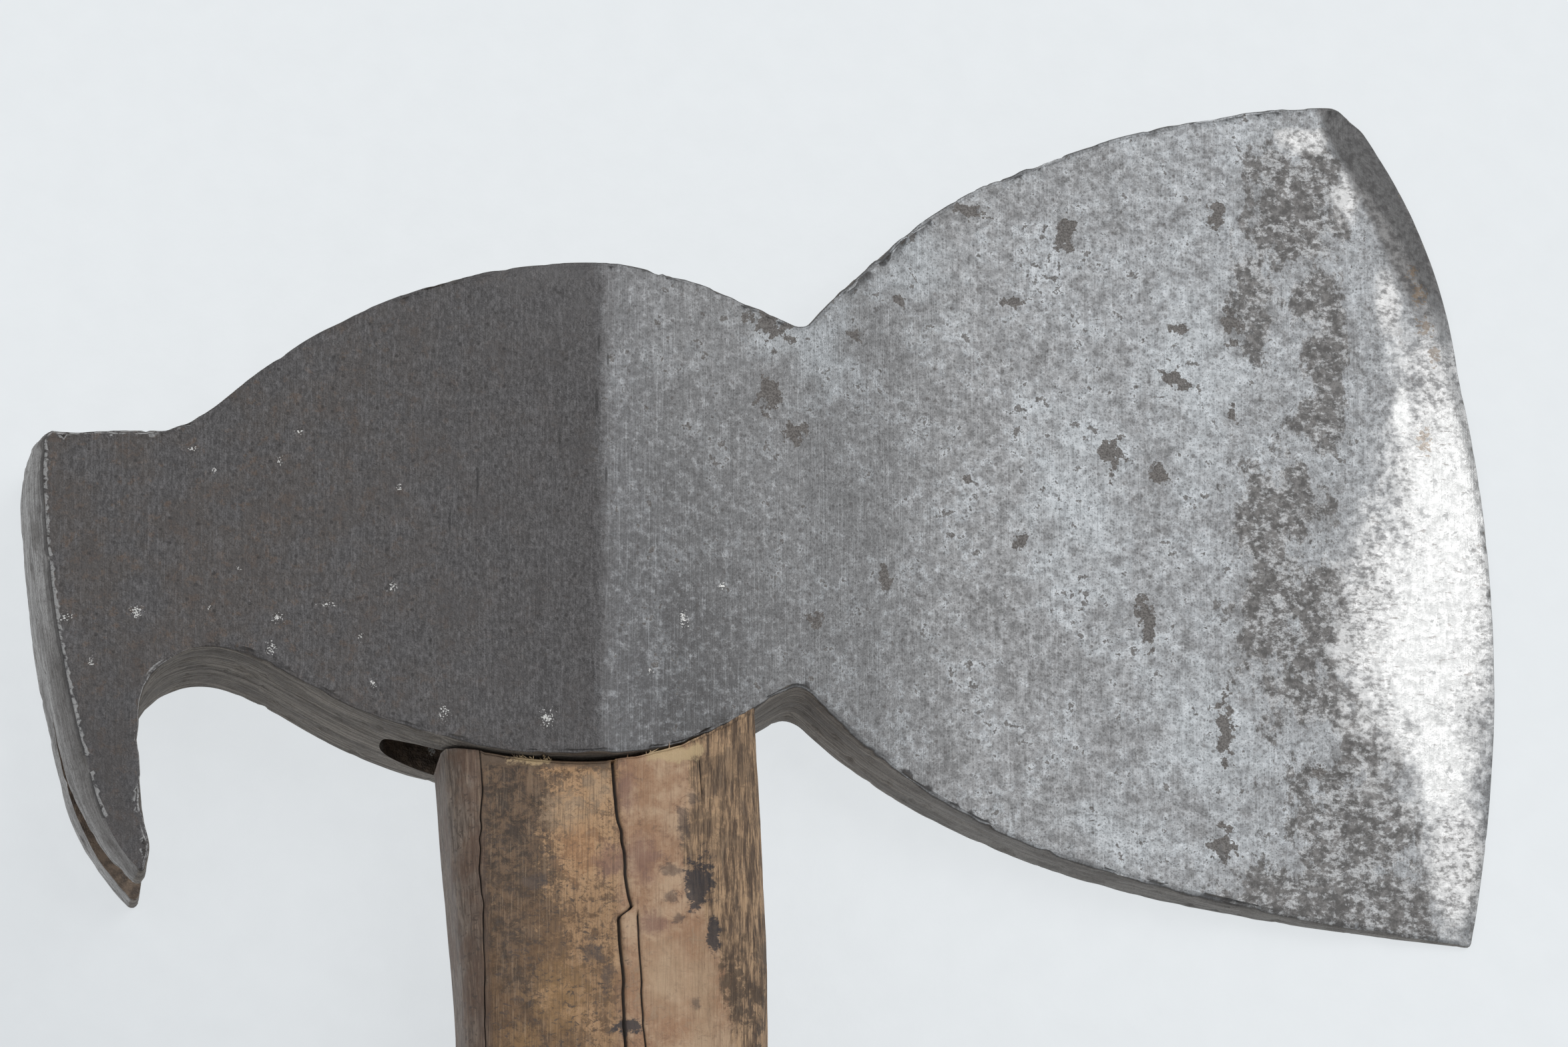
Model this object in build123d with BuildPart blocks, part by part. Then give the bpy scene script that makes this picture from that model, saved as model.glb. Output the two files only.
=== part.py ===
"""Claw hatchet with a broad blade: a forged head wedged onto a wooden handle.

Units are millimetres.  The hatchet lies on the flat side of its head:
+X runs from the claw to the cutting edge, +Y from the handle up through the
eye to the top of the head, +Z from the flat side to the bevelled side.
The origin is the middle of the eye, on the plane of the flat side.
"""

from build123d import *
import os

# ---------------------------------------------- head outline, seen on its side
TOP_LOBE_RADIUS = 70.0  # round top of the head, over the eye
TOP_LOBE_CENTRE = (2.5, -37.3)
LOW_LOBE = (1.0, -32.7)  # lowest point of the head, under the eye
LOW_LOBE_BACK_RADIUS = 69.0  # from there towards the claw
LOW_LOBE_FRONT_RADIUS = 38.0  # and towards the blade
LOW_LOBE_BACK_X = -33.0  # where the lobe ends and the throat begins
LOW_LOBE_FRONT_X = 25.0
NOTCH_TOP = (30.75, 26.75)  # the neck between eye and blade, above
NOTCH_LOW = (30.6, -20.6)  # and below
NOTCH_TOP_FILLET = 1.8
NOTCH_LOW_FILLET = 2.6
BLADE_TOP = [(41.5, 38.6), (52.5, 47.6), (66.9, 54.8), (85.0, 60.7)]
TOE = (103.4, 63.8)  # upper end of the cutting edge, its corner worn away
TOE_SHOULDER = (107.4, 61.0)
TOE_FILLET = 1.6
EDGE_UPPER = [(115.1, 46.5), (119.7, 28.0)]
EDGE_BELLY = (123.9, -16.0)
HEEL = (120.2, -49.4)  # lower end of the cutting edge
BLADE_UNDER = [(91.9, -46.4), (60.4, -38.8), (42.5, -30.2)]
THROAT = [(-41.0, -19.7), (-46.5, -18.7), (-51.6, -20.7)]
CLAW_ROOT = (-54.7, -27.0)
CLAW_INNER = [(-54.5, -35.0), (-53.1, -44.5)]
CLAW_TIP_INNER = (-53.5, -48.0)
CLAW_TIP = (-54.6, -48.4)
CLAW_OUTER = [(-60.6, -40.6), (-64.3, -30.6)]
POLL_OUTER = [(-68.1, -11.0), (-69.6, 5.0)]
POLL_CORNER = (-69.3, 10.2)
POLL_CORNER_FILLET = 3.4
POLL_BLEND = (-48.6, 10.2)  # where the poll's top meets the round of the eye
POLL_BLEND_FILLET = 15.0

# ------------------------------------------- head thickness, from claw to edge
POLL_SECTION = (-71.6, 19.6)  # each is (X, thickness)
RIDGE_SECTION = (4.3, 27.6)  # the cheek is thickest along this line
NECK_SECTION = (31.0, 18.6)
HOLLOW_SECTIONS = [(50.0, 11.4), (66.0, 8.6)]
WELD_SECTION = (88.5, 5.7)  # where the steel bit is welded to the iron
BEVEL_SECTION = (114.0, 1.9)
EDGE_SECTION = (124.3, 0.5)
NECK_SLOPE = -0.40
WELD_SLOPE = -0.14
POLL_ROUND_IN = 2.2  # the bevelled side's outer corner: in from the corner
POLL_ROUND_DOWN = 7.0  # and down the poll
POLL_ROUND_X = -55.0  # this far towards the eye

# --------------------------------------------- forge weld between iron and bit
TONGUE_DEPTH = 9.0  # the bit's root is a wedge this deep in a cleft of the iron
TONGUE_LOW = 0.9
TONGUE_MIDDLE = 2.7
TONGUE_HIGH = 4.8

# ------------------------------------------------------- eye, running along Y
EYE_X = 0.6
EYE_Z = 11.5
EYE_LOW = (47.5, 15.0)  # length and width in the plane under the head
EYE_TOP = (51.0, 17.0)  # wider above, so that the wedges lock the head
EYE_HALF_DEPTH = 36.0  # these two planes stand this far from the origin
EYE_END_FLAT = 0.6  # height of the flat left in the middle of its round ends

# ----------------------------------------------- nail-pulling slot in the claw
SLOT_Z = 9.8
SLOT_ROOT_Y = -26.0
SLOT_ROOT_WIDTH = 1.0
SLOT_END_Y = -52.0
SLOT_END_WIDTH = 10.4
SLOT_FRONT_X = -46.6
SLOT_LENGTH = 30.0

# --------------------------------------------------------------------- handle
HANDLE_Z = 12.9
# each station: distance below the origin, middle in X, width, thickness, corner
HANDLE_STATIONS = [
    (18.0, 4.3, 41.2, 24.8, 6.0),
    (33.0, 4.5, 41.0, 24.8, 6.0),
    (48.0, 5.6, 40.5, 24.8, 6.0),
    (72.0, 6.5, 39.8, 24.4, 6.6),
    (140.0, 5.6, 35.8, 23.0, 8.8),
    (225.0, 1.6, 31.9, 21.8, 10.0),
    (300.0, -0.6, 32.0, 22.0, 10.0),
    (345.0, 1.4, 37.8, 24.6, 11.0),
    (370.0, 3.0, 39.4, 25.2, 11.4),
]
HANDLE_END_FILLET = 4.0
FIT_GAP = 0.1  # between the wood and the iron all round it
TENON_BACK_X = -16.6  # the tenon leaves the claw end of the eye empty
TENON_PROUD = -0.3  # the tenon's end, worn and dried back, lies a little under the head's top

# --------------------------------------------------------------------- wedges
WEDGE_GAP = 0.05  # between a wedge and the wood it is driven into
KERF_BOTTOM_Y = -12.0
KERF_WIDTH = 1.4
WOOD_WEDGE_BOTTOM_Y = -4.0
WOOD_WEDGE_TOP_Y = 38.0  # where its sides reach their full thickness
WOOD_WEDGE_THICK = (4.6, 1.2)  # there and at its thin end
WOOD_WEDGE_X = (-15.4, 23.4)
STEEL_WEDGE_THICK = (3.0, 0.5)
STEEL_WEDGE_WIDTH = 11.0
STEEL_WEDGE_DEPTH = 22.0
STEEL_WEDGE_SUNK = 1.7  # how far its top lies under the tenon's end
STEEL_WEDGE_REAR = (-5.5, 12.0)  # each is (X, turn out of square in degrees)
STEEL_WEDGE_FRONT = (12.5, -9.0)

BLANK_HEIGHT = 32.0  # more than the head's greatest thickness
REACH = 140.0  # more than the head's greatest half length


def low_lobe_point(x, radius):
    """A point on the underside of the head, on the lobe's arc of that radius."""
    drop = (radius**2 - (x - LOW_LOBE[0]) ** 2) ** 0.5
    return (x, LOW_LOBE[1] + radius - drop)


def low_lobe_arc(x, radius):
    """The lobe's arc from its lowest point out to x."""
    halfway = (x + LOW_LOBE[0]) / 2
    return ThreePointArc(
        LOW_LOBE, low_lobe_point(halfway, radius), low_lobe_point(x, radius)
    )


def head_outline():
    """The head seen square on its side, as a face in the XY plane."""
    top = (TOP_LOBE_CENTRE[0], TOP_LOBE_CENTRE[1] + TOP_LOBE_RADIUS)
    lobe_front = low_lobe_point(LOW_LOBE_FRONT_X, LOW_LOBE_FRONT_RADIUS)
    lobe_back = low_lobe_point(LOW_LOBE_BACK_X, LOW_LOBE_BACK_RADIUS)
    with BuildSketch(Plane.XY) as outline:
        with BuildLine():
            Line(POLL_CORNER, POLL_BLEND)
            ThreePointArc(POLL_BLEND, top, NOTCH_TOP)
            Spline(NOTCH_TOP, *BLADE_TOP, TOE)
            Line(TOE, TOE_SHOULDER)
            ThreePointArc(TOE_SHOULDER, EDGE_UPPER[0], EDGE_UPPER[1])
            ThreePointArc(EDGE_UPPER[1], EDGE_BELLY, HEEL)
            Spline(HEEL, *BLADE_UNDER, NOTCH_LOW)
            Line(NOTCH_LOW, lobe_front)
            low_lobe_arc(LOW_LOBE_FRONT_X, LOW_LOBE_FRONT_RADIUS)
            low_lobe_arc(LOW_LOBE_BACK_X, LOW_LOBE_BACK_RADIUS)
            Spline(lobe_back, *THROAT, CLAW_ROOT)
            ThreePointArc(CLAW_ROOT, CLAW_INNER[0], CLAW_INNER[1])
            Line(CLAW_INNER[1], CLAW_TIP_INNER)
            Line(CLAW_TIP_INNER, CLAW_TIP)
            ThreePointArc(CLAW_TIP, CLAW_OUTER[0], CLAW_OUTER[1])
            ThreePointArc(CLAW_OUTER[1], POLL_OUTER[0], POLL_OUTER[1])
            Line(POLL_OUTER[1], POLL_CORNER)
        make_face()
        rounds = [
            (NOTCH_TOP, NOTCH_TOP_FILLET),
            (NOTCH_LOW, NOTCH_LOW_FILLET),
            (POLL_BLEND, POLL_BLEND_FILLET),
            (POLL_CORNER, POLL_CORNER_FILLET),
            (TOE, TOE_FILLET),
        ]
        for corner, radius in rounds:
            fillet(outline.vertices().sort_by_distance(corner)[0], radius)
    return outline.sketch


def poll_corner_waste():
    """What is hammered away from the bevelled side's corner of poll and claw."""
    start_z = POLL_SECTION[1] - POLL_ROUND_DOWN
    end_z = start_z + 2 * POLL_ROUND_DOWN
    with BuildPart() as waste:
        with Locations((POLL_ROUND_X, 0.0, start_z)):
            Box(
                REACH,
                REACH,
                BLANK_HEIGHT,
                align=(Align.MAX, Align.CENTER, Align.MIN),
            )
        with BuildSketch(Plane.XY.offset(start_z)):
            add(head_outline())
        with BuildSketch(Plane.XY.offset(end_z)):
            with Locations((2 * POLL_ROUND_IN, 0.0)):
                add(head_outline())
        loft(ruled=True, mode=Mode.SUBTRACT)
        with BuildSketch(Plane.XY.offset(end_z)):
            Rectangle(2 * REACH, 2 * REACH)
        extrude(amount=BLANK_HEIGHT, mode=Mode.SUBTRACT)
    return waste.part


def tapered_head():
    """Flat on one side; on the other a ridge at the eye, thinning to the edge."""
    with BuildPart() as tapered:
        add(head_outline())
        extrude(amount=BLANK_HEIGHT)
        with BuildSketch(Plane.XZ):
            with BuildLine():
                Line((POLL_SECTION[0], 0), POLL_SECTION)
                Line(POLL_SECTION, RIDGE_SECTION)
                Line(RIDGE_SECTION, NECK_SECTION)
                Spline(
                    NECK_SECTION,
                    *HOLLOW_SECTIONS,
                    WELD_SECTION,
                    tangents=[(1, NECK_SLOPE), (1, WELD_SLOPE)],
                )
                Line(WELD_SECTION, BEVEL_SECTION)
                Line(BEVEL_SECTION, EDGE_SECTION)
                Line(EDGE_SECTION, (EDGE_SECTION[0], 0))
                Line((EDGE_SECTION[0], 0), (POLL_SECTION[0], 0))
            make_face()
        extrude(amount=REACH, both=True, mode=Mode.INTERSECT)
        add(poll_corner_waste(), mode=Mode.SUBTRACT)
    return tapered.part


def eye_solid(gap):
    """The hole for the handle, or with a gap the wood that fits inside it."""
    with BuildPart() as eye:
        for side, (length, width) in ((1, EYE_LOW), (-1, EYE_TOP)):
            end_radius = (width - EYE_END_FLAT) / 2 - gap
            with BuildSketch(Plane.XZ.offset(side * EYE_HALF_DEPTH)):
                with Locations((EYE_X, EYE_Z)):
                    RectangleRounded(length - 2 * gap, width - 2 * gap, end_radius)
        loft()
    return eye.part


def bit_region():
    """Everything forward of the weld line, with the bit's wedge-shaped root."""
    front = EDGE_SECTION[0] + 1.0
    weld_x = WELD_SECTION[0]
    with BuildPart() as region:
        with BuildSketch(Plane.XZ):
            Polygon(
                (weld_x, -1.0),
                (front, -1.0),
                (front, WELD_SECTION[1] + 1.0),
                (weld_x, WELD_SECTION[1] + 1.0),
                (weld_x, TONGUE_HIGH),
                (weld_x - TONGUE_DEPTH, TONGUE_MIDDLE),
                (weld_x, TONGUE_LOW),
                align=None,
            )
        extrude(amount=REACH, both=True)
    return region.part


def under_tenon_end():
    """All the space below the rounded end of the tenon."""
    with BuildPart() as space:
        with BuildSketch(Plane.XY):
            with Locations((TOP_LOBE_CENTRE[0], TOP_LOBE_CENTRE[1] + TENON_PROUD)):
                Circle(TOP_LOBE_RADIUS)
        extrude(amount=BLANK_HEIGHT)
    return space.part


def wedge_blank(thick, width, depth):
    """A wedge with its top at Y = 0, its point down, its width along X."""
    with BuildPart() as wedge:
        with BuildSketch(Plane.YZ):
            Polygon(
                (0.0, thick[0] / 2),
                (0.0, -thick[0] / 2),
                (-depth, -thick[1] / 2),
                (-depth, thick[1] / 2),
                align=None,
            )
        extrude(amount=width / 2, both=True)
    return wedge.part


def steel_wedge(place, gap):
    """A steel wedge across the wooden one, or with a gap the pocket it drives."""
    x, turn = place
    thick = (STEEL_WEDGE_THICK[0] + 2 * gap, STEEL_WEDGE_THICK[1] + 2 * gap)
    blank = wedge_blank(thick, STEEL_WEDGE_WIDTH + 2 * gap, STEEL_WEDGE_DEPTH + gap)
    rise = (TOP_LOBE_RADIUS**2 - (x - TOP_LOBE_CENTRE[0]) ** 2) ** 0.5
    top_y = TOP_LOBE_CENTRE[1] + rise + TENON_PROUD - STEEL_WEDGE_SUNK
    return Location((x, top_y, EYE_Z), (0, 90 + turn, 0)) * blank


tapered = tapered_head()
weld = bit_region()

# The iron body: cheeks, eye, poll and claw.
with BuildPart() as head_body:
    add(tapered)
    add(weld, mode=Mode.SUBTRACT)
    add(eye_solid(0.0), mode=Mode.SUBTRACT)
    with BuildSketch(Plane.YZ.offset(SLOT_FRONT_X)):
        Polygon(
            (SLOT_ROOT_Y, SLOT_Z + SLOT_ROOT_WIDTH / 2),
            (SLOT_ROOT_Y, SLOT_Z - SLOT_ROOT_WIDTH / 2),
            (SLOT_END_Y, SLOT_Z - SLOT_END_WIDTH / 2),
            (SLOT_END_Y, SLOT_Z + SLOT_END_WIDTH / 2),
            align=None,
        )
    extrude(amount=-SLOT_LENGTH, mode=Mode.SUBTRACT)
head_body.part.label = "head_body"

# The steel bit, forge-welded into the cleft at the front of the body.
with BuildPart() as cutting_bit:
    add(tapered)
    add(weld, mode=Mode.INTERSECT)
cutting_bit.part.label = "cutting_bit"

# The wooden handle, from its butt up to the shoulder under the head.
with BuildPart() as grip:
    for depth, middle, width, thickness, corner in HANDLE_STATIONS:
        with BuildSketch(Plane.XZ.offset(depth)):
            with Locations((middle, HANDLE_Z)):
                RectangleRounded(width, thickness, corner)
    loft()
    butt = grip.faces().sort_by(Axis.Y)[0]
    fillet(butt.edges(), HANDLE_END_FILLET)
    with BuildSketch(Plane.XY.offset(-1.0)):
        with Locations((0.0, -FIT_GAP)):
            add(head_outline())
    extrude(amount=BLANK_HEIGHT, mode=Mode.SUBTRACT)

# Its tenon, which fills the eye but for the claw end.
with BuildPart() as tenon:
    add(eye_solid(FIT_GAP))
    add(under_tenon_end(), mode=Mode.INTERSECT)
    with Locations((TENON_BACK_X, 0.0, EYE_Z)):
        Box(
            REACH,
            REACH,
            BLANK_HEIGHT,
            align=(Align.MIN, Align.CENTER, Align.CENTER),
            mode=Mode.INTERSECT,
        )

with BuildPart() as handle:
    add(grip)
    add(tenon)
    # the saw kerf down the tenon, spread open by the wooden wedge
    with BuildSketch(Plane.YZ):
        with Locations((0.0, EYE_Z)):
            spread = WOOD_WEDGE_THICK[0] / 2 + WEDGE_GAP
            Polygon(
                (KERF_BOTTOM_Y, -KERF_WIDTH / 2),
                (KERF_BOTTOM_Y, KERF_WIDTH / 2),
                (WOOD_WEDGE_BOTTOM_Y, KERF_WIDTH / 2),
                (WOOD_WEDGE_TOP_Y, spread),
                (WOOD_WEDGE_TOP_Y, -spread),
                (WOOD_WEDGE_BOTTOM_Y, -KERF_WIDTH / 2),
                align=None,
            )
    extrude(amount=REACH, both=True, mode=Mode.SUBTRACT)
    add(steel_wedge(STEEL_WEDGE_REAR, WEDGE_GAP), mode=Mode.SUBTRACT)
    add(steel_wedge(STEEL_WEDGE_FRONT, WEDGE_GAP), mode=Mode.SUBTRACT)
handle.part.label = "handle"

# The wooden wedge, as long as the tenon.
with BuildPart() as wooden_wedge:
    wedge_length = WOOD_WEDGE_X[1] - WOOD_WEDGE_X[0]
    wedge_depth = WOOD_WEDGE_TOP_Y - WOOD_WEDGE_BOTTOM_Y
    with Locations(((WOOD_WEDGE_X[0] + WOOD_WEDGE_X[1]) / 2, WOOD_WEDGE_TOP_Y, EYE_Z)):
        add(wedge_blank(WOOD_WEDGE_THICK, wedge_length, wedge_depth))
    add(under_tenon_end(), mode=Mode.INTERSECT)
    add(steel_wedge(STEEL_WEDGE_REAR, WEDGE_GAP), mode=Mode.SUBTRACT)
    add(steel_wedge(STEEL_WEDGE_FRONT, WEDGE_GAP), mode=Mode.SUBTRACT)
wooden_wedge.part.label = "wooden_wedge"

# The two steel wedges, driven across the wooden one.
with BuildPart() as steel_wedge_rear:
    add(steel_wedge(STEEL_WEDGE_REAR, 0.0))
steel_wedge_rear.part.label = "steel_wedge_rear"

with BuildPart() as steel_wedge_front:
    add(steel_wedge(STEEL_WEDGE_FRONT, 0.0))
steel_wedge_front.part.label = "steel_wedge_front"

os.makedirs("parts", exist_ok=True)
export_step(head_body.part, "parts/head_body.step")
export_step(cutting_bit.part, "parts/cutting_bit.step")
export_step(handle.part, "parts/handle.step")
export_step(wooden_wedge.part, "parts/wooden_wedge.step")
export_step(steel_wedge_rear.part, "parts/steel_wedge_rear.step")
export_step(steel_wedge_front.part, "parts/steel_wedge_front.step")
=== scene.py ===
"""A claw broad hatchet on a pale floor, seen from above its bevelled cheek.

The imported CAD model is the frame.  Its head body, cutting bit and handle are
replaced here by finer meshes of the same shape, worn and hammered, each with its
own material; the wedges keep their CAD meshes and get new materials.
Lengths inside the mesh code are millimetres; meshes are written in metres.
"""

import contextlib
import itertools
import math

import bmesh
import bpy
import numpy as np
from mathutils import Matrix, Vector
from mathutils.bvhtree import BVHTree
from mathutils.geometry import delaunay_2d_cdt
from mathutils.kdtree import KDTree


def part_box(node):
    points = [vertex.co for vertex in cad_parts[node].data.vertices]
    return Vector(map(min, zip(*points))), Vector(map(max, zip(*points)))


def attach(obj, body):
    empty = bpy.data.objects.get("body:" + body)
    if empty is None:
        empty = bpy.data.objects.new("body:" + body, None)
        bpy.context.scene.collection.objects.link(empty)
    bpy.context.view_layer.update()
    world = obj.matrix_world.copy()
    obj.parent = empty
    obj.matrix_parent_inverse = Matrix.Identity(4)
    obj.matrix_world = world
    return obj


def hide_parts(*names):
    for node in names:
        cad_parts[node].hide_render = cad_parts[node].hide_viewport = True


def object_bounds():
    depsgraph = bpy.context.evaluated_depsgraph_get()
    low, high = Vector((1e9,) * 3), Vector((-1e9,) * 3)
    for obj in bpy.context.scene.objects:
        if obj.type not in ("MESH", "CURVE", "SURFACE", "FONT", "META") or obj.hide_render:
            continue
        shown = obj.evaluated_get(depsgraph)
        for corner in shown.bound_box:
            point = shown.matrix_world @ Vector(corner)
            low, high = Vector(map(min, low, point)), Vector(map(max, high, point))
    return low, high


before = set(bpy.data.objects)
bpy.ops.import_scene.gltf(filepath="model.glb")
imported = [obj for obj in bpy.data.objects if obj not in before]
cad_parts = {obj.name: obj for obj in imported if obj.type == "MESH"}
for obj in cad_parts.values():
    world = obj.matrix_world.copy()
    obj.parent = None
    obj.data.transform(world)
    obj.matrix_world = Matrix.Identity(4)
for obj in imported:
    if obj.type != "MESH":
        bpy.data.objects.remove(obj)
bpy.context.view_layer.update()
MM = 0.001
TO_MM = 1000.0

# ------------------------------------------------------------------- the head
LOOP_STEP = 0.5  # along the outline
NEAR_STEP = 0.72  # between points of the bevelled side
FAR_STEP = 1.3  # and of the flat side
WALL_ROWS = 20
ROUND_ROWS = 6
WORN_RADIUS = 0.75  # of the head's corners
POLL_IN, POLL_DOWN = 2.2, 7.0  # the poll's corner on the bevelled side
EDGE_THICK = 0.4
BEVEL_SLOPE = 0.52  # of the narrow bevel along the cutting edge
EDGE_BEYOND_X = 104.0  # the outline in front of this is the cutting edge
BEVEL_BEYOND_X = 85.0  # no part of the bevel lies behind this
FAR_OFF = 99.0
PROFILE_X, PROFILE_SAMPLES = (-58.0, 123.7), 700
SKIN = 0.12  # how far the worn surface lies inside the CAD's, on average
EYE_X, EYE_Z = 0.6, 11.5
EYE_LOW, EYE_TOP = (47.5, 15.0), (51.0, 17.0)
EYE_HALF_DEPTH = 36.0
EYE_POWERS = (5.0, 2.6)  # 2 is an ellipse, more is squarer: along and across
EYE_CUT_REACH, EYE_CUT_ROWS, EYE_CUT_COLUMNS = 41.0, 90, 150
SLOT_Z = 9.8
SLOT_ROOT_Y, SLOT_END_Y = -26.0, -52.0
SLOT_ROOT_WIDTH, SLOT_END_WIDTH = 1.0, 10.4
SLOT_X = (-76.0, -46.6)
SLOT_ROWS, SLOT_COLUMNS = 40, 30
CREASE_DEGREES = 76.0  # an edge sharper than this is shaded sharp

# ----------------------------------------------------------------- the handle
HANDLE_Z = 12.9
COLUMNS = 280
FRONT_CROWDING = 0.42  # how much closer the columns lie on the front
SHOULDER_Y = -36.9  # the topmost full section under the head
BUTT_Y = -370.0
TENON_CUT_Y = -24.2  # the tenon goes on down to here, inside the haft
SPLINTER_Z = 24.75
# the splinters under the head: x, y, spread and how many
SPLINTERS = (
    (-4.8, -32.9, 2.6, 46), (16.0, -31.2, 0.9, 26), (12.0, -31.9, 2.6, 22), (8.5, -32.4, 1.4, 8),
)

# ------------------------------------------------------------------ the stage
CAMERA_ASIDE, CAMERA_DOWN = 6.0, 14.5  # degrees
CAMERA_TARGET = (30.239, 5.471, 0.0)
CAMERA_DISTANCE = 1.5
CAMERA_LENS = 263.2
FLOOR_HALF, FLOOR_GAP = 3.0, 0.0002
SKY_COLOUR, SKY_STRENGTH = (0.93, 0.97, 1.0, 1.0), 0.5
# direction, distance, size and power
KEY_LIGHT = ((0.42, 0.30, 0.86), 1.4, (0.7, 0.9), 10.0)
FILL_LIGHT = ((-0.75, 0.2, 0.75), 1.6, (1.0, 1.2), 4.0)


# ---------------------------------------------------------------------- noise
def hashed(ix, iy, iz, seed):
    """A fixed number from -1 to 1 for each lattice point."""
    mask = np.int64(0xFFFFFFFF)
    n = (ix * 374761393 + iy * 668265263 + iz * 1442695041 + seed * 974634777) & mask
    n = ((n ^ (n >> 13)) * 1274126177) & mask
    n = ((n ^ (n >> 15)) * 668265263) & mask
    n = n ^ (n >> 16)
    return n.astype(float) / 0xFFFFFFFF * 2.0 - 1.0


def noise(points, size, seed):
    """Smooth noise from -1 to 1 at points, with features about size long."""
    q = np.asarray(points, float) / np.asarray(size, float)
    cell = np.floor(q).astype(np.int64)
    f = q - cell
    f = f * f * (3.0 - 2.0 * f)
    total = np.zeros(len(q))
    for dx, dy, dz in itertools.product((0, 1), repeat=3):
        weight = np.where(dx, f[:, 0], 1 - f[:, 0])
        weight = weight * np.where(dy, f[:, 1], 1 - f[:, 1])
        weight = weight * np.where(dz, f[:, 2], 1 - f[:, 2])
        total += weight * hashed(cell[:, 0] + dx, cell[:, 1] + dy, cell[:, 2] + dz, seed)
    return total


def fbm(points, size, seed, octaves=3):
    """Noise with finer noise added, each octave half the size and strength."""
    size = np.asarray(size, float)
    total = sum(
        noise(points, size / 2**k, seed + 31 * k) * 0.5**k for k in range(octaves)
    )
    return total / (2.0 - 0.5 ** (octaves - 1))


def smoothstep(x, low, high):
    t = np.clip((x - low) / (high - low), 0.0, 1.0)
    return t * t * (3.0 - 2.0 * t)


# ------------------------------------------------------------ reading the CAD
def cad_bvh(*names):
    """A ray-cast tree of the named CAD nodes together, in millimetres."""
    points, faces = [], []
    for name in names:
        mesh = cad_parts[name].data
        start = len(points)
        points += [v.co * TO_MM for v in mesh.vertices]
        faces += [[start + i for i in p.vertices] for p in mesh.polygons]
    return BVHTree.FromPolygons(points, faces)


def flat_side_outline():
    """The head's outline, as one closed loop of 2-D points, from its flat side."""
    weld_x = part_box("head_body")[1].x * TO_MM
    count = {}
    for name in ("head_body", "cutting_bit"):
        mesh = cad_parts[name].data
        for polygon in mesh.polygons:
            corners = [mesh.vertices[i].co * TO_MM for i in polygon.vertices]
            if max(c.z for c in corners) > 0.001:
                continue
            keys = [(round(c.x, 3), round(c.y, 3)) for c in corners]
            for a, b in zip(keys, keys[1:] + keys[:1]):
                if abs(a[0] - weld_x) < 0.01 and abs(b[0] - weld_x) < 0.01:
                    continue
                count[frozenset((a, b))] = count.get(frozenset((a, b)), 0) + 1
    linked = {}
    for pair, uses in count.items():
        if uses == 1 and len(pair) == 2:
            a, b = pair
            linked.setdefault(a, []).append(b)
            linked.setdefault(b, []).append(a)
    start = max(linked, key=lambda p: p[1] - abs(p[0]))
    loop = [start]
    before, here = None, start
    while True:
        after = next((p for p in linked[here] if p != before), None)
        if after is None or after == start:
            break
        loop.append(after)
        before, here = here, after
        if len(loop) > len(linked):
            break
    loop = np.array(loop)
    area = np.sum(loop[:, 0] * np.roll(loop[:, 1], -1) - loop[:, 1] * np.roll(loop[:, 0], -1))
    return loop if area > 0 else loop[::-1]


def resampled(loop, step):
    """A closed loop's points at even steps."""
    closed = np.vstack([loop, loop[:1]])
    lengths = np.linalg.norm(np.diff(closed, axis=0), axis=1)
    along = np.concatenate([[0.0], np.cumsum(lengths)])
    n = int(round(along[-1] / step))
    at = np.arange(n) * along[-1] / n
    return np.column_stack([np.interp(at, along, closed[:, k]) for k in range(2)])


def smoothed(values, reach):
    """A closed loop's values averaged over reach neighbours each side."""
    shifts = range(-reach, reach + 1)
    return sum(np.roll(values, k, axis=0) for k in shifts) / len(shifts)


# ------------------------------------------------------------- mesh utilities
def linked(name, data):
    """A new object of this data, in the scene."""
    made = bpy.data.objects.new(name, data)
    bpy.context.scene.collection.objects.link(made)
    return made


def new_object(name, points, faces, smooth=True):
    """A mesh object from points in millimetres."""
    mesh = bpy.data.meshes.new(name)
    mesh.from_pydata([tuple(p) for p in np.asarray(points) * MM], [], faces)
    mesh.update()
    mesh.polygons.foreach_set("use_smooth", [smooth] * len(mesh.polygons))
    return linked(name, mesh)


@contextlib.contextmanager
def editing(mesh):
    """The mesh as a bmesh, which is written back at the end of the block."""
    bm = bmesh.new()
    bm.from_mesh(mesh)
    yield bm
    bm.to_mesh(mesh)
    bm.free()


def outward(piece):
    """Turns every face of a closed mesh outwards."""
    with editing(piece.data) as bm:
        bmesh.ops.recalc_face_normals(bm, faces=bm.faces)
    return piece


def stacked(rings, capped=True):
    """Points and faces of a tube through rings of equally many points."""
    n = len(rings[0])
    faces = []
    for first in range(0, (len(rings) - 1) * n, n):
        for i in range(n):
            j = (i + 1) % n
            faces.append((first + i, first + j, first + n + j, first + n + i))
    if capped:
        faces.append(tuple(range(n)))
        faces.append(tuple(reversed(range((len(rings) - 1) * n, len(rings) * n))))
    return np.vstack(rings), faces


def point_tree(points):
    """A nearest-point tree of 2-D points."""
    tree = KDTree(len(points))
    for i, (x, y) in enumerate(points):
        tree.insert(Vector((x, y, 0)), i)
    tree.balance()
    return tree


def mesh_points(piece):
    co = np.zeros(len(piece.data.vertices) * 3, np.float32)
    piece.data.vertices.foreach_get("co", co)
    return co.reshape(-1, 3).astype(float) * TO_MM


def set_mesh_points(piece, points):
    flat = (np.asarray(points) * MM).astype(np.float32).ravel()
    piece.data.vertices.foreach_set("co", flat)
    piece.data.update()


def mesh_normals(piece):
    no = np.zeros(len(piece.data.vertices) * 3, np.float32)
    piece.data.vertices.foreach_get("normal", no)
    return no.reshape(-1, 3).astype(float)


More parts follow.
